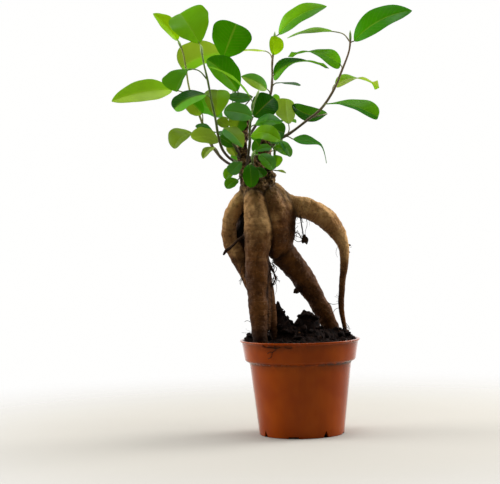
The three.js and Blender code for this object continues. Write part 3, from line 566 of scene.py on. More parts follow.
def taken_out(made):
    """The object's points and faces with its modifiers applied. The object itself goes."""
    mesh = bpy.data.meshes.new_from_object(made.evaluated_get(bpy.context.evaluated_depsgraph_get()))
    bpy.data.objects.remove(made)
    points = np.array([vertex.co for vertex in mesh.vertices]) / MM
    return points, [tuple(polygon.vertices) for polygon in mesh.polygons]


def piece(name, shape, material, slot, *nodes, sharp=180):
    """Makes the object, lets it ride on the body and hides the nodes it stands for."""
    mesh = solid(name, *shape)
    mesh.shade_smooth()
    if sharp < 180:
        mesh.set_sharp_from_angle(angle=math.radians(sharp))
    mesh.materials.append(material)
    made = placed(name, mesh)
    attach(made, "root")
    if nodes:
        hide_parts(*nodes)


# Materials

class Look:
    """The nodes of a new material, or of a world, with short calls for what the looks share."""

    def __init__(self, name, world=None, **constants):
        self.owner = world or bpy.data.materials.new(name)
        self.owner.use_nodes = True
        self.tree = self.owner.node_tree
        self.shader = self.tree.nodes.get("Principled BSDF")
        for socket, value in constants.items():
            self.put(self.shader.inputs[socket.replace("_", " ")], value)

    def add(self, kind, inputs=None, **settings):
        made = self.tree.nodes.new("ShaderNode" + kind)
        for key, value in settings.items():
            setattr(made, key, value)
        for key, value in (inputs or {}).items():
            self.put(made.inputs[key], value)
        return made

    def put(self, socket, value):
        if isinstance(value, bpy.types.NodeSocket):
            self.tree.links.new(value, socket)
        elif hasattr(value, "__len__") and len(value) == 3 and len(socket.default_value) == 4:
            socket.default_value = (*value, 1)
        else:
            socket.default_value = value

    def mark(self, name):
        return self.add("Attribute", attribute_name=name).outputs["Vector"]

    def parts(self, name):
        return tuple(self.add("SeparateXYZ", {0: self.mark(name)}).outputs)

    def place(self, stretch=(1, 1, 1)):
        """Coordinates in metres times stretch."""
        spot = self.add("TexCoord").outputs["Object"]
        return self.add("VectorMath", {0: spot, 1: stretch}, operation="MULTIPLY").outputs[0]

    def noise(self, scale, detail=3, rough=0.55, where=None):
        where = self.place() if where is None else where
        inputs = {"Vector": where, "Scale": scale, "Detail": detail, "Roughness": rough}
        return self.add("TexNoise", inputs).outputs["Fac"]

    def cells(self, scale):
        return self.add("TexVoronoi", {"Vector": self.place(), "Scale": scale}).outputs["Distance"]

    def math(self, operation, a, b=0):
        return self.add("Math", {0: a, 1: b}, operation=operation).outputs[0]

    def times(self, a, b):
        return self.math("MULTIPLY", a, b)

    def plus(self, a, b):
        return self.math("ADD", a, b)

    def minus(self, a, b):
        return self.math("SUBTRACT", a, b)

    def step(self, value, low, high, start=0, end=1):
        inputs = {"Value": value, "From Min": low, "From Max": high, "To Min": start, "To Max": end}
        return self.add("MapRange", inputs, interpolation_type="SMOOTHSTEP").outputs[0]

    def mix(self, part, a, b, blend="MIX"):
        """Colour a with a share of b. A tuple is a screen colour."""
        a, b = (linear(colour) if isinstance(colour, tuple) else colour for colour in (a, b))
        return self.add("Mix", {0: part, 6: a, 7: b}, data_type="RGBA", blend_type=blend).outputs[2]

    def tinted(self, colour, light):
        return self.mix(1, colour, np.array(light), "MULTIPLY")

    def coat(self, part, colour):
        self.base = self.mix(part, self.base, colour)

    def finish(self, roughness, relief, depth, strength=1):
        bump = self.add("Bump", {"Height": relief, "Distance": depth, "Strength": strength}).outputs[0]
        for socket, value in (("Base Color", self.base), ("Roughness", roughness), ("Normal", bump)):
            self.put(self.shader.inputs[socket], value)
        return self.owner

    def cover(self, part, other):
        both = self.add("MixShader", {0: part, 1: self.shader.outputs[0], 2: other.outputs[0]})
        self.put(self.tree.nodes["Material Output"].inputs["Surface"], both.outputs[0])


def plastic_look():
    look = Look("terracotta_plastic", Specular_IOR_Level=0.22, Specular_Tint=(1, 0.72, 0.42))
    # The pot's first mark is dirt under the band and the lip and inside the rim; the second is painted shade in the
    # drains.
    grime, drain_shade, _ = look.parts("wear")
    look.base = look.mix(look.step(look.noise(38, 2), 0.3, 0.7), (140, 52, 1), (158, 66, 3))
    streaks = look.noise(1, 3, where=look.place((90, 90, 18)))
    look.coat(look.step(streaks, 0.42, 0.72, 0, 0.3), (118, 38, 1))
    patches = look.times(grime, look.step(look.noise(260, 5), 0.3, 0.52))
    specks = look.times(grime, look.step(look.noise(900, 4), 0.62, 0.7))
    soiled = look.math("MAXIMUM", patches, specks)
    look.coat(soiled, (40, 24, 16))
    # Painted shade: the cut faces of the drains are coloured near black, as openings in shadow.
    look.coat(drain_shade, (12, 7, 5))
    gloss = look.step(look.noise(160, 4), 0.3, 0.75, 0.07, 0.14)
    return look.finish(look.plus(gloss, look.times(soiled, 0.3)), look.noise(1400, 2), 0.00004, 0.5)


def peat_look():
    look = Look("peat", Specular_IOR_Level=0.1)
    dry, _, _ = look.parts("grain")
    look.base = look.mix(look.step(look.noise(420, 5, 0.7), 0.35, 0.7), (10, 6, 5), (38, 23, 16))
    look.coat(look.step(look.noise(1500), 0.67, 0.73, 0, 0.35), (92, 66, 44))
    look.coat(dry, (92, 60, 36))
    return look.finish(0.95, look.noise(1100, 5, 0.7), 0.0006)


def bark_look():
    look = Look("bark", Specular_IOR_Level=0.1)
    brown, crease, along = look.parts("bark")
    hidden, rough, _ = look.parts("skin")
    cloud, mottle = look.noise(60, 4), look.noise(330, 4, 0.65)
    patch = look.step(cloud, 0.35, 0.65)
    # The brown mark turns pale upper bark into dark lower bark: partly the bark's own colour, partly painted shade.
    upper = look.mix(patch, (162, 118, 68), (204, 160, 102))
    lower = look.mix(patch, (78, 46, 18), (110, 68, 26))
    look.base = look.mix(brown, upper, lower)
    look.coat(look.step(mottle, 0.5, 0.74, 0, 0.6), (52, 32, 18))
    look.coat(look.step(mottle, 0.28, 0.44, 0.4, 0), look.mix(brown, (186, 156, 108), (128, 88, 50)))
    ring_place = look.add("CombineXYZ", {0: look.times(along, 0.42), 1: look.times(cloud, 3)}).outputs[0]
    rings = look.noise(1, 3, where=ring_place)
    look.coat(look.step(rings, 0.54, 0.64, 0, 0.22), (60, 36, 20))
    dots = look.step(look.cells(420), 0.1, 0.26, 1, 0)
    look.coat(look.times(dots, 0.22), (164, 132, 90))
    look.coat(look.times(rough, look.step(mottle, 0.32, 0.6, 0.25, 0.95)), (40, 25, 14))
    look.coat(look.times(rough, look.step(look.noise(820, 3, 0.6), 0.54, 0.62, 0, 0.9)), (44, 28, 14))
    look.coat(look.times(look.times(rough, dots), 0.9), (190, 158, 108))
    # Painted shade: the second bark mark colours the creases between limbs and the hollow heart near black; it also
    # darkens the bark near the soil and on the rootlets.
    look.coat(crease, (20, 11, 7))
    # Painted shade: the first skin mark darkens the bark where the shape hides it from the light, on the undersides
    # and under the arm.
    look.coat(look.times(hidden, 0.8), look.tinted(look.base, (0.22, 0.15, 0.12)))
    relief = look.plus(look.times(mottle, 0.8), look.times(dots, 0.25))
    relief = look.minus(relief, look.times(look.step(rings, 0.5, 0.62), 0.3))
    relief = look.plus(relief, look.times(look.noise(1100, 4), 0.35))
    return look.finish(look.step(mottle, 0.3, 0.7, 0.6, 0.82), relief, 0.0007)


def leaf_look():
    look = Look("leaf", Specular_IOR_Level=0.16)
    u, v, side = look.parts("blade")
    tone = look.mark("tone")
    span = look.math("ABSOLUTE", v)
    cell = look.math("FRACT", look.minus(look.times(u, SIDE_VEINS), look.times(span, VEIN_SWEEP)))
    ridge = look.math("ABSOLUTE", look.minus(cell, 0.5))
    vein = look.times(look.step(ridge, 0, 0.09, 1, 0), look.step(span, 0.55, 0.95, 1, 0))
    rib = look.step(span, 0.02, 0.075, 1, 0)
    lines = look.math("MAXIMUM", rib, look.times(vein, 0.35))
    cloud = look.noise(170, 3)
    look.base = look.mix(look.step(cloud, 0.3, 0.72, 0, 0.28), tone, look.tinted(tone, (0.55, 0.62, 0.4)))
    look.coat(look.times(lines, 0.22), look.mix(0.5, tone, (176, 200, 96)))
    below = look.step(side, -0.1, 0.1, 1, 0)
    look.coat(below, look.mix(0.42, look.base, (150, 172, 112)))
    shine_through = look.tinted(look.add("Gamma", {"Color": look.base, "Gamma": 0.5}).outputs[0], (1.2, 1.15, 0.5))
    look.cover(0.65, look.add("BsdfTranslucent", {"Color": shine_through}))
    roughness = look.plus(look.step(cloud, 0.3, 0.7, 0.3, 0.42), look.times(below, 0.22))
    relief = look.minus(look.times(look.noise(1500, 2), 0.05), look.times(lines, 0.5))
    return look.finish(roughness, relief, 0.0002, 0.5)


def stem_look():
    look = Look("stem", Specular_IOR_Level=0.4)
    tone = look.mark("tone")
    grain = look.noise(1, 4, where=look.place((900, 900, 260)))
    look.base = look.mix(look.step(grain, 0.35, 0.7, 0, 0.4), tone, look.tinted(tone, (0.4, 0.36, 0.3)))
    look.coat(look.step(look.cells(700), 0.1, 0.25, 0.35, 0), (190, 180, 140))
    return look.finish(look.step(grain, 0.3, 0.7, 0.42, 0.6), grain, 0.0002)


# Pot

def drain(measures, turn):
    """A prism across the wall at the foot, turned about the pot's axis by turn degrees."""
    width, height, slope = measures
    low, high = width / 2, width / 2 - slope + 0.05
    outline = [(-low, -1), (low, -1), (high, height), (-high, height)]
    points = np.array([(x, -radius, z) for radius in (FOOT_RADIUS - 4, FOOT_RADIUS + 4) for x, z in outline])
    faces = [(0, 1, 2, 3), (7, 6, 5, 4), *[(i, (i + 1) % 4, (i + 1) % 4 + 4, i + 4) for i in range(4)]]
    x, y, z = points.T
    return np.stack([*turned(x, y, turn), z], 1), faces


def pot_profile():
    """The pot's section from the underside round the wall to the floor, in stretches of some 6 mm at most."""
    corners = [
        (0, UNDERSIDE), (FOOT_RADIUS - 5, UNDERSIDE), (FOOT_RADIUS - 4, 0), (FOOT_RADIUS, 0),
        (BODY_TOP_RADIUS, BODY_TOP), (BAND_FOOT_RADIUS - 0.2, BAND_FOOT - 0.8),
        (BAND_TOP_RADIUS, POT_HEIGHT - LIP_DEPTH - 0.5), (LIP_RADIUS, POT_HEIGHT - LIP_DEPTH),
        (LIP_RADIUS, POT_HEIGHT), (BAND_TOP_RADIUS - WALL, POT_HEIGHT), (BAND_FOOT_RADIUS - WALL, BAND_FOOT + 0.5),
        (BODY_TOP_RADIUS - WALL, BODY_TOP + 0.5), (FOOT_RADIUS - WALL - 0.6, FLOOR_TOP), (0, FLOOR_TOP),
    ]
    profile = rounded(corners, [0.8, 0.6, 0.9, 1.2, 1.3, 0.7, 0.5, 0.6, 0.5, 1, 1, 2])
    fine = []
    for (r0, h0), (r1, h1) in zip(profile, profile[1:]):
        count = max(1, round(math.hypot(r1 - r0, h1 - h0) / 6))
        fine += [(r0 + (r1 - r0) * k / count, h0 + (h1 - h0) * k / count) for k in range(count)]
    return [*fine, profile[-1]]


def pot(material):
    shell = placed("pot_shell", solid("pot_shell", *lathe(pot_profile(), 160)))
    cutters = []
    for i in range(2 * DRAIN_PAIRS):
        name, turn = f"cutter_{i}", DRAIN_TURN + 180 / DRAIN_PAIRS * i
        cutters.append(placed(name, solid(name, *drain(SLIT if i % 2 else DRAIN, turn))))
        cutting = shell.modifiers.new(f"cut_{i}", "BOOLEAN")
        cutting.object, cutting.operation, cutting.solver = cutters[-1], "DIFFERENCE", "EXACT"
    points, faces = taken_out(shell)
    for cutter in cutters:
        bpy.data.objects.remove(cutter)
    x, y, z = points.T
    radius = np.hypot(x, y)
    under_band = hump(z, BODY_TOP + 0.2, 1.3) * (0.6 + 0.4 * smooth(x, 5, 25))
    under_lip = 0.3 * hump(z, POT_HEIGHT - 2.4, 1.2)
    smear = hump(z, POT_HEIGHT - 3.2, 1.3) * np.exp(-((x + 20) / 15) ** 4)
    inside = smooth(radius, LIP_RADIUS - 1.2, LIP_RADIUS - 1.9) * (z > SOIL_LEVEL) * 0.7
    outer = FOOT_RADIUS + (BODY_TOP_RADIUS - FOOT_RADIUS) * z / BODY_TOP
    # Painted shade: the cut faces of the drains, coloured near black in the look.
    drain_shade_mask = smooth(radius, outer - 0.2, outer - 0.6) * (z < DRAIN[1] + 1.2)
    grime = np.maximum.reduce([under_band, under_lip, smear, inside])
    marks = {"wear": np.stack([grime, drain_shade_mask, 0 * z], 1)}
    piece("pot_body", (points, faces, marks), material, "pot_plastic", "pot", sharp=35)


# Soil

def soil_height(x, y):
    mounds = 0
    for middle_x, middle_y, height, spread, power in MOUNDS:
        mounds = mounds + height * np.exp(-((np.hypot(x - middle_x, y - middle_y) / spread) ** power))
    return SOIL_LEVEL + mounds + 0.8 * np.sin(x / 3.1 + 1) * np.cos(y / 3.7)


def peat(shape, dry=0.0):
    """A shape of peat. Dry is the share of its pale brown colour."""
    points, faces = shape[:2]
    return points, faces, {"grain": np.full((len(points), 3), dry)}


def ground(sides=220, rings=74):
    """The soil's skin: the crumbly top, and a plain skirt inside the pot."""
    turn = around(sides)
    reach = SOIL_RADIUS * np.sqrt(np.linspace(1, 0, rings, endpoint=False))
    x, y = np.outer(reach, np.sin(turn)).ravel(), np.outer(reach, -np.cos(turn)).ravel()
    flat = np.stack([x, y, 0 * x], 1)
    rough = 0.6 * ripple(flat, 9, 11) + 0.7 * np.abs(ripple(flat, 4.2, 12)) + 0.45 * np.abs(ripple(flat, 2.1, 13))
    top = np.stack([x, y, soil_height(x, y) + rough - 0.8], 1)
    foot, body = FOOT_RADIUS - WALL, BODY_TOP_RADIUS - WALL
    below = [(foot - 1, SOIL_FOOT), (foot - 0.9, SOIL_FOOT + 0.2), (body - 0.3, BODY_TOP)]
    below += [(SOIL_RADIUS - 0.8, BAND_FOOT + 1.5)]
    skirt = [level_ring(radius, height, sides) for radius, height in below]
    points = np.vstack([[(0, 0, SOIL_FOOT)], *skirt, top, [(0, 0, soil_height(0, 0))]])
    return points, closed(len(below) + rings, sides)


def soil(material):
    draw = np.random.default_rng(5)
    shapes = [peat(ground())]
    for k in range(620):
        radius, angle = (SOIL_RADIUS - 1) * math.sqrt(draw.uniform()), draw.uniform(0, 2 * math.pi)
        x, y = radius * math.sin(angle), -radius * math.cos(angle)
        size = draw.choice([0.5, 0.8, 1.3, 2.1], p=[0.4, 0.35, 0.18, 0.07])
        crumb = lump((x, y, soil_height(x, y) + 0.3 * size), size, 100 + k)
        shapes.append(peat(crumb, 0.0 if draw.uniform() < 0.9 else draw.uniform(0.3, 1)))
    shapes += [peat(lump(place, size, 900 + k)) for k, (*place, size) in enumerate(CLODS)]
    shapes += [peat(tube(spline(tapering(path, THREAD, THREAD), 6), 6), 0.15) for path in THREADS]
    piece("soil_top", together(shapes), material, "soil", "soil", sharp=70)


# Rootstock

def skin_gaps(points, limbs):
    """Each limb's distance to every point from its skin, the direction there, and the place and radius there."""
    gaps = np.full((len(limbs), len(points)), 99.0)
    outs = np.zeros((len(limbs), len(points), 3))
    places, radii = np.zeros((2, len(limbs), len(points)))
    for k, (rows, sawn) in enumerate(limbs):
        reach = 9 + rows[:, 3].max()
        low, high = rows[:, :3].min(0) - reach, rows[:, :3].max(0) + reach
        near = np.flatnonzero(np.all((points > low) & (points < high), axis=1))
        starts, runs = rows[:-1], np.diff(rows, axis=0)
        lengths = norm(runs[:, :3], axis=1)
        travelled = np.concatenate([[0], np.cumsum(lengths)])
        for part in np.array_split(near, max(1, len(near) // 6000)):
            offset = points[part, None] - starts[None, :, :3]
            t = np.clip((offset * runs[:, :3]).sum(2) / lengths**2, 0, 1)
            away = offset - t[..., None] * runs[:, :3]
            length = norm(away, axis=2)
            gap = length - starts[:, 3] - t * runs[:, 3]
            best = gap.argmin(1)
            index = np.arange(len(part))
            gaps[k, part] = gap[index, best]
            outs[k, part] = away[index, best] / np.maximum(length[index, best], 1e-6)[:, None]
            places[k, part] = travelled[best] + t[index, best] * lengths[best]
            radii[k, part] = starts[best, 3] + t[index, best] * runs[best, 3]
        if sawn:
            end, along = rows[-1, :3], unit(rows[-1, :3] - rows[-2, :3])
            past = (points[near] - end) @ along
            outs[k, near[past > gaps[k, near]]] = along
            gaps[k, near] = np.maximum(gaps[k, near], past)
    return gaps, outs, places, radii


def grown_together(points):
    """1 where the limbs have fused: the bulge right of the front leg, the foot of the arm and the crown."""
    x, _, z = points.T
    bulge = smooth(x, -23.5, -19) * smooth(z, 132, 140) * smooth(z, 177, 168) * smooth(x, -4.5, -9)
    return np.maximum(bulge, 0.25 * smooth(z, 180, 190))


def blended(points, limbs):
    """Distance to the joined skin and its direction, and each limb's share, gap, place along it and radius."""
    gaps, outs, places, radii = skin_gaps(points, limbs)
    least = gaps.min(0)
    soft = CREASED + (FUSED - CREASED) * grown_together(points)
    weights = np.exp(-(gaps - least) / soft)
    total = weights.sum(0)
    out = unit((outs * (weights / total)[..., None]).sum(0))
    return least - soft * np.log(total), out, weights / total, gaps, places, radii


def closeness(points, faces, rays=16, reach=16):
    """How much of the sky over each point is hidden by the shape itself, from 0 to 1."""
    tree = BVHTree.FromPolygons(points.tolist(), faces)
    mesh = bpy.data.meshes.new("normals")
    mesh.from_pydata(points.tolist(), [], faces)
    normals = np.array([vertex.normal for vertex in mesh.vertices])
    bpy.data.meshes.remove(mesh)
    starts = (points + 0.3 * normals).tolist()
    hits = np.zeros(len(points))
    for spray in unit(np.random.default_rng(3).normal(size=(rays, 3))):
        for i, (start, way) in enumerate(zip(starts, unit(normals * 1.05 + spray).tolist())):
            hits[i] += tree.ray_cast(start, way, reach)[0] is not None
    return hits / rays


def joined_limbs(limbs):
    """One skin round all limbs: a coarse block of tubes, drawn onto the blended distance."""
    points, faces, _ = together([(*tube(rows, 14, 0.9)[:2], {}) for rows, _ in limbs])
    block = placed("rootstock_block", solid("rootstock_block", points, faces))
    remesh = block.modifiers.new("remesh", "REMESH")
    remesh.mode, remesh.voxel_size = "VOXEL", 0.8 * MM
    points, faces = taken_out(block)
    for _ in range(4):
        gap, out = blended(points, limbs)[:2]
        points = points - out * np.clip(gap, -1.5, 1.5)[:, None]
    return points, faces


def rootstock(material):
    limbs = [(spline(knots, 3), name in SAWN) for name, knots in ROOTS.items()]
    points, faces = joined_limbs(limbs)
    _, out, shares, gaps, places, radii = blended(points, limbs)
    nearest, index = gaps.argmin(0), np.arange(len(points))
    along, girth = places[nearest, index], radii[nearest, index]
    crease = np.sort(gaps, axis=0)[1] - gaps.min(0)
    share = dict(zip(ROOTS, shares))
    fused = grown_together(points)

    top = smooth(points[:, 2], 174, 190) * (1 - share["arm"]) * (1 - share["middle"])
    warp = 0.36 * ripple(points, 17, 1) + 0.2 * ripple(points, 7, 2) + 0.09 * ripple(points, 3.2, 3)
    gnarls = 0.55 * ripple(points, 6, 4) + 0.35 * ripple(points, 3, 5)
    rings = np.sin(along / 0.9 + 1.2 * ripple(points, 9, 6)) * 0.05 * smooth(ripple(points, 14, 7), -0.5, 1)
    lift = np.clip(girth / 8, 0.1, 1) * (warp * (1 - 0.3 * top) + rings + gnarls * top - 0.1)
    points = points + out * lift[:, None]

    x, y, z = points.T
    # The bark is dark brown below each limb's level: partly its own colour, partly painted shade.
    level = shares.T @ np.array([BROWN_AND_SHADE_BELOW.get(name, BROWN_AND_SHADE_ELSEWHERE) for name in ROOTS])
    brown = smooth(z + 4 * ripple(points, 24, 8) + 3 * ripple(points, 9, 9) - level, 17, -17)
    # Painted shade: the creases between limbs are darkened where shade falls.
    crease_shade = np.exp(-crease / 1.4) * smooth(girth, 2, 4) * (1 - fused) * 0.85
    soiled = 0.6 * smooth(z, SOIL_LEVEL + 16, SOIL_LEVEL + 3)
    thin = 0.8 * np.isin(nearest, [k for k, name in enumerate(ROOTS) if name in ROOTLETS])
    # Painted shade: the heart, set back behind the front leg, is coloured near black.
    inner = 0.95 * share["heart"] * smooth(x, -50, -46) * smooth(y, 10, 4)
    bark = np.stack([brown, np.maximum.reduce([crease_shade, soiled, thin, inner]), along], 1)

    # Painted shade: the bark darkens where the shape itself hides the sky, on faces that turn down and to the left,
    # on the right flank of the middle and under the arm.
    below = 0.95 * smooth(out @ np.array([-0.55, -0.1, -0.83]), 0.1, 0.85) * smooth(z, 174, 138)
    flank = 0.75 * share["middle"] * smooth(x, -10, -5) * smooth(z, 138, 146) * smooth(z, 171, 164)
    under_arm = 0.9 * share["arm"] * smooth(out[:, 2], 0, -0.9) * smooth(x, 48, 16)
    hidden = np.maximum.reduce([1.3 * closeness(points, faces), below, flank, under_arm])
    rough = np.maximum(top, 0.14 * share["frontLeg"] * smooth(z, 128, 150))
    skin = np.stack([np.minimum(hidden, 1), rough, 0 * z], 1)
    piece("root_mass", leaning((points, faces, {"bark": bark, "skin": skin})), material, "bark", "rootstock")


def wandering(start, heading, length, radius, seed):
    """A hair root that winds away from start: rows (x, y, z, radius)."""
    draw = np.random.default_rng(seed)
    place, way = np.array(start, float), unit(heading)
    rows = [(*place, radius)]
    steps = max(4, round(length / 1.6))
    for i in range(steps):
        way = unit(way + draw.normal(size=3) * 0.55 + (0, 0, -0.08))
        place = place + way * length / steps
        rows.append((*place, radius * (1 - 0.6 * (i + 1) / steps)))
    return rows


def hair_roots(material):
    hairs = [(tapering(path, radius, radius / 2), 6) for path, radius in HAIRS]
    for k, (start, heading, length, count, radius) in enumerate(WISPS):
        draw = np.random.default_rng(60 + k)
        for i in range(count):
            aim = unit(heading) + 0.5 * draw.normal(size=3)
            origin = np.array(start) + draw.normal(size=3) * (0.8, 0.8, 1.6)
            hairs.append((wandering(origin, aim, length * draw.uniform(0.5, 1.1), radius, 100 * k + i), 3))
    shapes = []
    for k, (rows, steps) in enumerate(hairs):
        points, faces, _ = tube(spline(rows, steps), 6)
        shift = unit(ripple(points, 2.5, 40 + k)[:, None] * np.ones(3))
        shapes.append((points + 0.12 * rows[0][3] * shift, faces, {}))
    shapes += [(*lump(place, radius, 700 + k, 1), {}) for k, (*place, radius) in enumerate(BUDS)]
    points, faces, _ = together(shapes)
    marks = {name: np.tile(values, (len(points), 1)) for name, values in HAIR_MARKS.items()}
    piece("hair_roots", leaning((points, faces, marks)), material, "bark")


# Leaves and stems

def blade_frame(base, tip, faces):
    """A blade's base, length, direction and upper side."""
    run, facing = np.subtract(tip, base).astype(float), np.array(faces, float)
    along = unit(run)
    return np.array(base, float), norm(run), along, unit(facing - along * (along @ facing))


def blade(seed, base, tip, wide, faces, form, tones, arch=0.1, fold=8, skew=0, twist=0, flag=0, hook=0):
    start, length, along, up = blade_frame(base, tip, faces)
    draw = np.random.default_rng(seed)
    steps = 14 if wide <= 10 else 22
    t = ((1 - np.cos(math.pi * np.arange(1, steps) / steps)) / 2)[:, None]
    v = np.concatenate([-COLUMNS[:0:-1], COLUMNS])[None, :]

    rise, fall = form
    peak = rise / (rise + fall)
    half = wide / 2 * t**rise * (1 - t) ** fall / (peak**rise * (1 - peak) ** fall)
    half = half + flag / 2 * hump(t, 0.92, 0.05)
    half = half * (1 + 0.02 * np.sin(t * draw.uniform(14, 22) + draw.uniform(0, 6)))
    reach = v * half * (1 + np.sign(v) * skew)

    hooked = np.maximum(t - HOOK_START, 0) / (1 - HOOK_START)
    rib = start + along * length * t + up * length * (arch * 4 * t * (1 - t) - hook * hooked**2)
    slope = 4 * arch * (1 - 2 * t) - 2 * hook * hooked / (1 - HOOK_START)
    turn = np.radians(twist * (t - 0.5))
    cos, sin = np.cos(turn), np.sin(turn)
    across = np.cross(along, up)
    out = across * cos + np.cross(along, across) * sin
    skin = unit(up - slope * along)
    skin = skin * cos + np.cross(along, skin) * sin + along * (skin @ along)[:, None] * (1 - cos)

    cup = np.abs(reach) * math.tan(math.radians(fold)) * (1.25 - 0.25 * np.abs(v))
    swing = 2 * math.pi * draw.uniform(1.2, 2.6) * t + draw.uniform(0, 6) + 1.3 * v
    wave = 0.028 * wide * v**2 * np.sin(swing) * np.sin(math.pi * t)
    quilt = 0.05 * np.cos(2 * math.pi * (SIDE_VEINS * t - VEIN_SWEEP * np.abs(v))) * (1 - v**4) * min(1, wide / 14)
    groove = 0.24 * hump(reach, 0, 0.55) * np.sqrt(1 - t)
    keel = 0.34 * hump(reach, 0, 0.5) * (1 - 0.8 * t)
    thick = HALF_BLADE * (1 - 0.6 * v**6)
    middle = rib[:, None] + out[:, None] * reach[..., None]
    upper = middle + skin[:, None] * (cup + wave - groove + quilt + thick)[..., None]
    lower = middle + skin[:, None] * (cup + wave + quilt - thick - keel)[..., None]
    rings = np.concatenate([upper, lower[:, ::-1]], axis=1)
    points = np.vstack([[start], rings.reshape(-1, 3), [start + along * length - up * length * hook]])

    spread, side = np.concatenate([v, v[:, ::-1]], axis=1), np.repeat((1.0, -1.0), v.shape[1])
    mark = np.stack(np.broadcast_arrays(t, spread, side), 2).reshape(-1, 3)
    mark = np.vstack([[(0, 0, 0)], mark, [(1, 0, 0)]])
    first, second = (linear(tone) for tone in tones)
    share = smooth(mark[:, 1], -0.25, 0.25)[:, None]
    pale = 1 + 0.18 * smooth(mark[:, :1], 0.35, 0) - 0.06 * np.sin(math.pi * mark[:, :1])
    colour = (first * (1 - share) + second * share) * pale * draw.uniform(0.94, 1.06)
    return points, closed(len(t), rings.shape[1]), {"blade": mark, "tone": colour}


def petiole(stem, base, tip, faces, arch=0.1, **rest):
    """A leaf stalk from the stem, just below the blade's base, into the blade, and its place along the stem."""
    path = spline(stem, 12)
    start, _, along, up = blade_frame(base, tip, faces)
    away = norm(path - start, axis=1)
    nearest = int(away.argmin())
    drop = int(round(0.7 * away[nearest] * len(path) / norm(np.diff(path, axis=0), axis=1).sum()))
    index = max(nearest - drop - 1, 1)
    origin, rise = path[index], unit(path[index + 1] - path[index])
    elbow = (origin + start) / 2 + 0.1 * norm(origin - start) * (rise - along)
    end = start + 1.8 * unit(along + 4 * arch * up)
    rows = [(*origin, 0.6), (*elbow, 0.46), (*start, 0.42), (*end, 0.22)]
    return spline(rows, 5), index / (len(path) - 1)


def stalk_shape(rows, sides, colours):
    points, faces, owner = tube(rows, sides, 0.8)
    return points, faces, {"tone": colours[owner]}


def shoot(name, foot, top, stem, leaves, looks):
    """A leafy stem: one piece of stem and leaf stalks, and one of blades."""
    foot, top = linear(foot), linear(top)
    rows = spline(tapering(stem, STEM_FOOT, STEM_TIP), 8)
    part = np.linspace(0, 1, len(rows))
    stalks, swell = [], 0
    for plan in leaves:
        stalk, place = petiole(stem, **plan)
        swell = swell + 0.16 * hump(part, place, 1 / (2.2 * len(stem)))
        ground = foot + (top - foot) * smooth(place, 0.15, 0.9)
        green = 0.5 * linear(plan["tones"][0]) + 0.5 * linear(STRAW)
        share = np.linspace(0, 1, len(stalk))[:, None]
        stalks.append(stalk_shape(stalk, 8, ground * (1 - share) + green * share))
    beyond = np.cumsum(norm(np.diff(rows[::-1, :3], axis=0, prepend=rows[-1:, :3]), axis=1))[::-1]
    rows[:, 3] *= 1 + np.clip(swell, 0, 0.2)
    rows[:, 3] *= 1 + 0.5 * np.sin(math.pi * np.clip(beyond / BUD_LENGTH, 0, 1)) - 0.7 * smooth(beyond, 2.5, 0)
    colours = foot + (top - foot) * smooth(part, 0.15, 0.9)[:, None]
    colours = colours + (linear(PALE) - colours) * smooth(beyond, BUD_LENGTH, 0.7 * BUD_LENGTH)[:, None]
    stalks.append(stalk_shape(rows, 12, colours))
    piece(f"{name}_stem", leaning(together(stalks)), looks["stem"], "foliage", name)
    seed = sum(map(ord, name))
    blades = together([blade(seed + 7 * k, **plan) for k, plan in enumerate(leaves)])
    piece(f"{name}_leaves", leaning(blades), looks["leaf"], "foliage", name, sharp=60)


# Studio

# Lamps as name, place in metres, width and power. They face AIM.
LAMPS = (
    ("left_window", (-0.95, 0.12, 0.5), 0.6, 7.2),
    ("right_window", (0.9, 0.35, 0.6), 0.6, 12.0),
    ("ceiling", (0.05, -0.1, 1.2), 0.5, 6.0),
    ("fill", (-0.6, -1.3, 0.9), 0.5, 1.2),
)
AIM = (0, 0, 0.17)

CAMERA_PLACE = (-0.0355, -1.1625, 0.1573)
CAMERA_DIP = 0.628
LENS, SENSOR = 111.6, 36


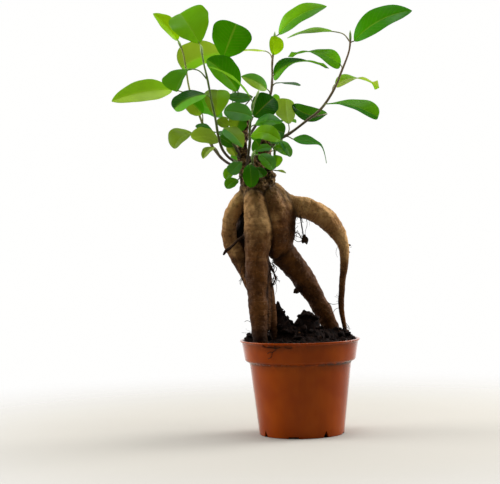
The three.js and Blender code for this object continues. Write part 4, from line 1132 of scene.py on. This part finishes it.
def studio_floor():
    bpy.ops.mesh.primitive_circle_add(vertices=96, radius=0.6, fill_type="NGON", location=(0, 0, 0))
    floor = bpy.context.object
    floor.name = "studio_floor"
    look = Look("studio_floor", Base_Color=(0.42, 0.4, 0.36), Roughness=0.9, Specular_IOR_Level=0.2)
    spot = look.add("TexCoord").outputs["Object"]
    away = look.add("VectorMath", {0: spot}, operation="LENGTH").outputs["Value"]
    look.cover(look.step(away, 0.14, 0.5), look.add("BsdfTransparent"))
    floor.data.materials.append(look.owner)


def backdrop():
    """A world that is white to the camera and lights the plant from behind and above."""
    world = bpy.data.worlds.new("studio")
    bpy.context.scene.world = world
    look = Look("sky", world)
    spread = look.add("TexCoord").outputs["Generated"]
    facing = look.add("VectorMath", {0: spread, 1: (0, 0.8, 0.6)}, operation="DOT_PRODUCT").outputs["Value"]
    seen = look.add("LightPath").outputs["Is Camera Ray"]
    strength = look.add("Mix", {0: seen, 2: look.step(facing, -0.15, 0.65, 0.03, 1.25), 3: 1}).outputs[0]
    inputs = look.tree.nodes["Background"].inputs
    look.put(inputs["Color"], (1, 0.998, 0.99))
    look.put(inputs["Strength"], strength)


def lamps():
    for name, place, width, power in LAMPS:
        data = bpy.data.lights.new(name, "AREA")
        data.shape, data.size, data.energy = "SQUARE", width, power
        lamp = placed(name, data)
        lamp.location = place
        lamp.rotation_euler = (Vector(AIM) - Vector(place)).to_track_quat("-Z", "Y").to_euler()


def camera():
    """The photograph's view. The camera rolls with the plant, which stands upright in the picture."""
    data = bpy.data.cameras.new("camera")
    data.lens, data.sensor_width = LENS, SENSOR
    made = placed("camera", data)
    made.location = CAMERA_PLACE
    made.rotation_euler = (math.radians(90 - CAMERA_DIP), math.radians(LEAN), 0)
    bpy.context.scene.camera = made


camera()
studio_floor()
backdrop()
lamps()
bpy.context.scene.view_settings.view_transform = "Standard"
looks = {"leaf": leaf_look(), "stem": stem_look(), "bark": bark_look()}
pot(plastic_look())
soil(peat_look())
rootstock(looks["bark"])
hair_roots(looks["bark"])
for name, (foot, top, stem, leaves) in SHOOTS.items():
    shoot(name, foot, top, stem, leaves, looks)
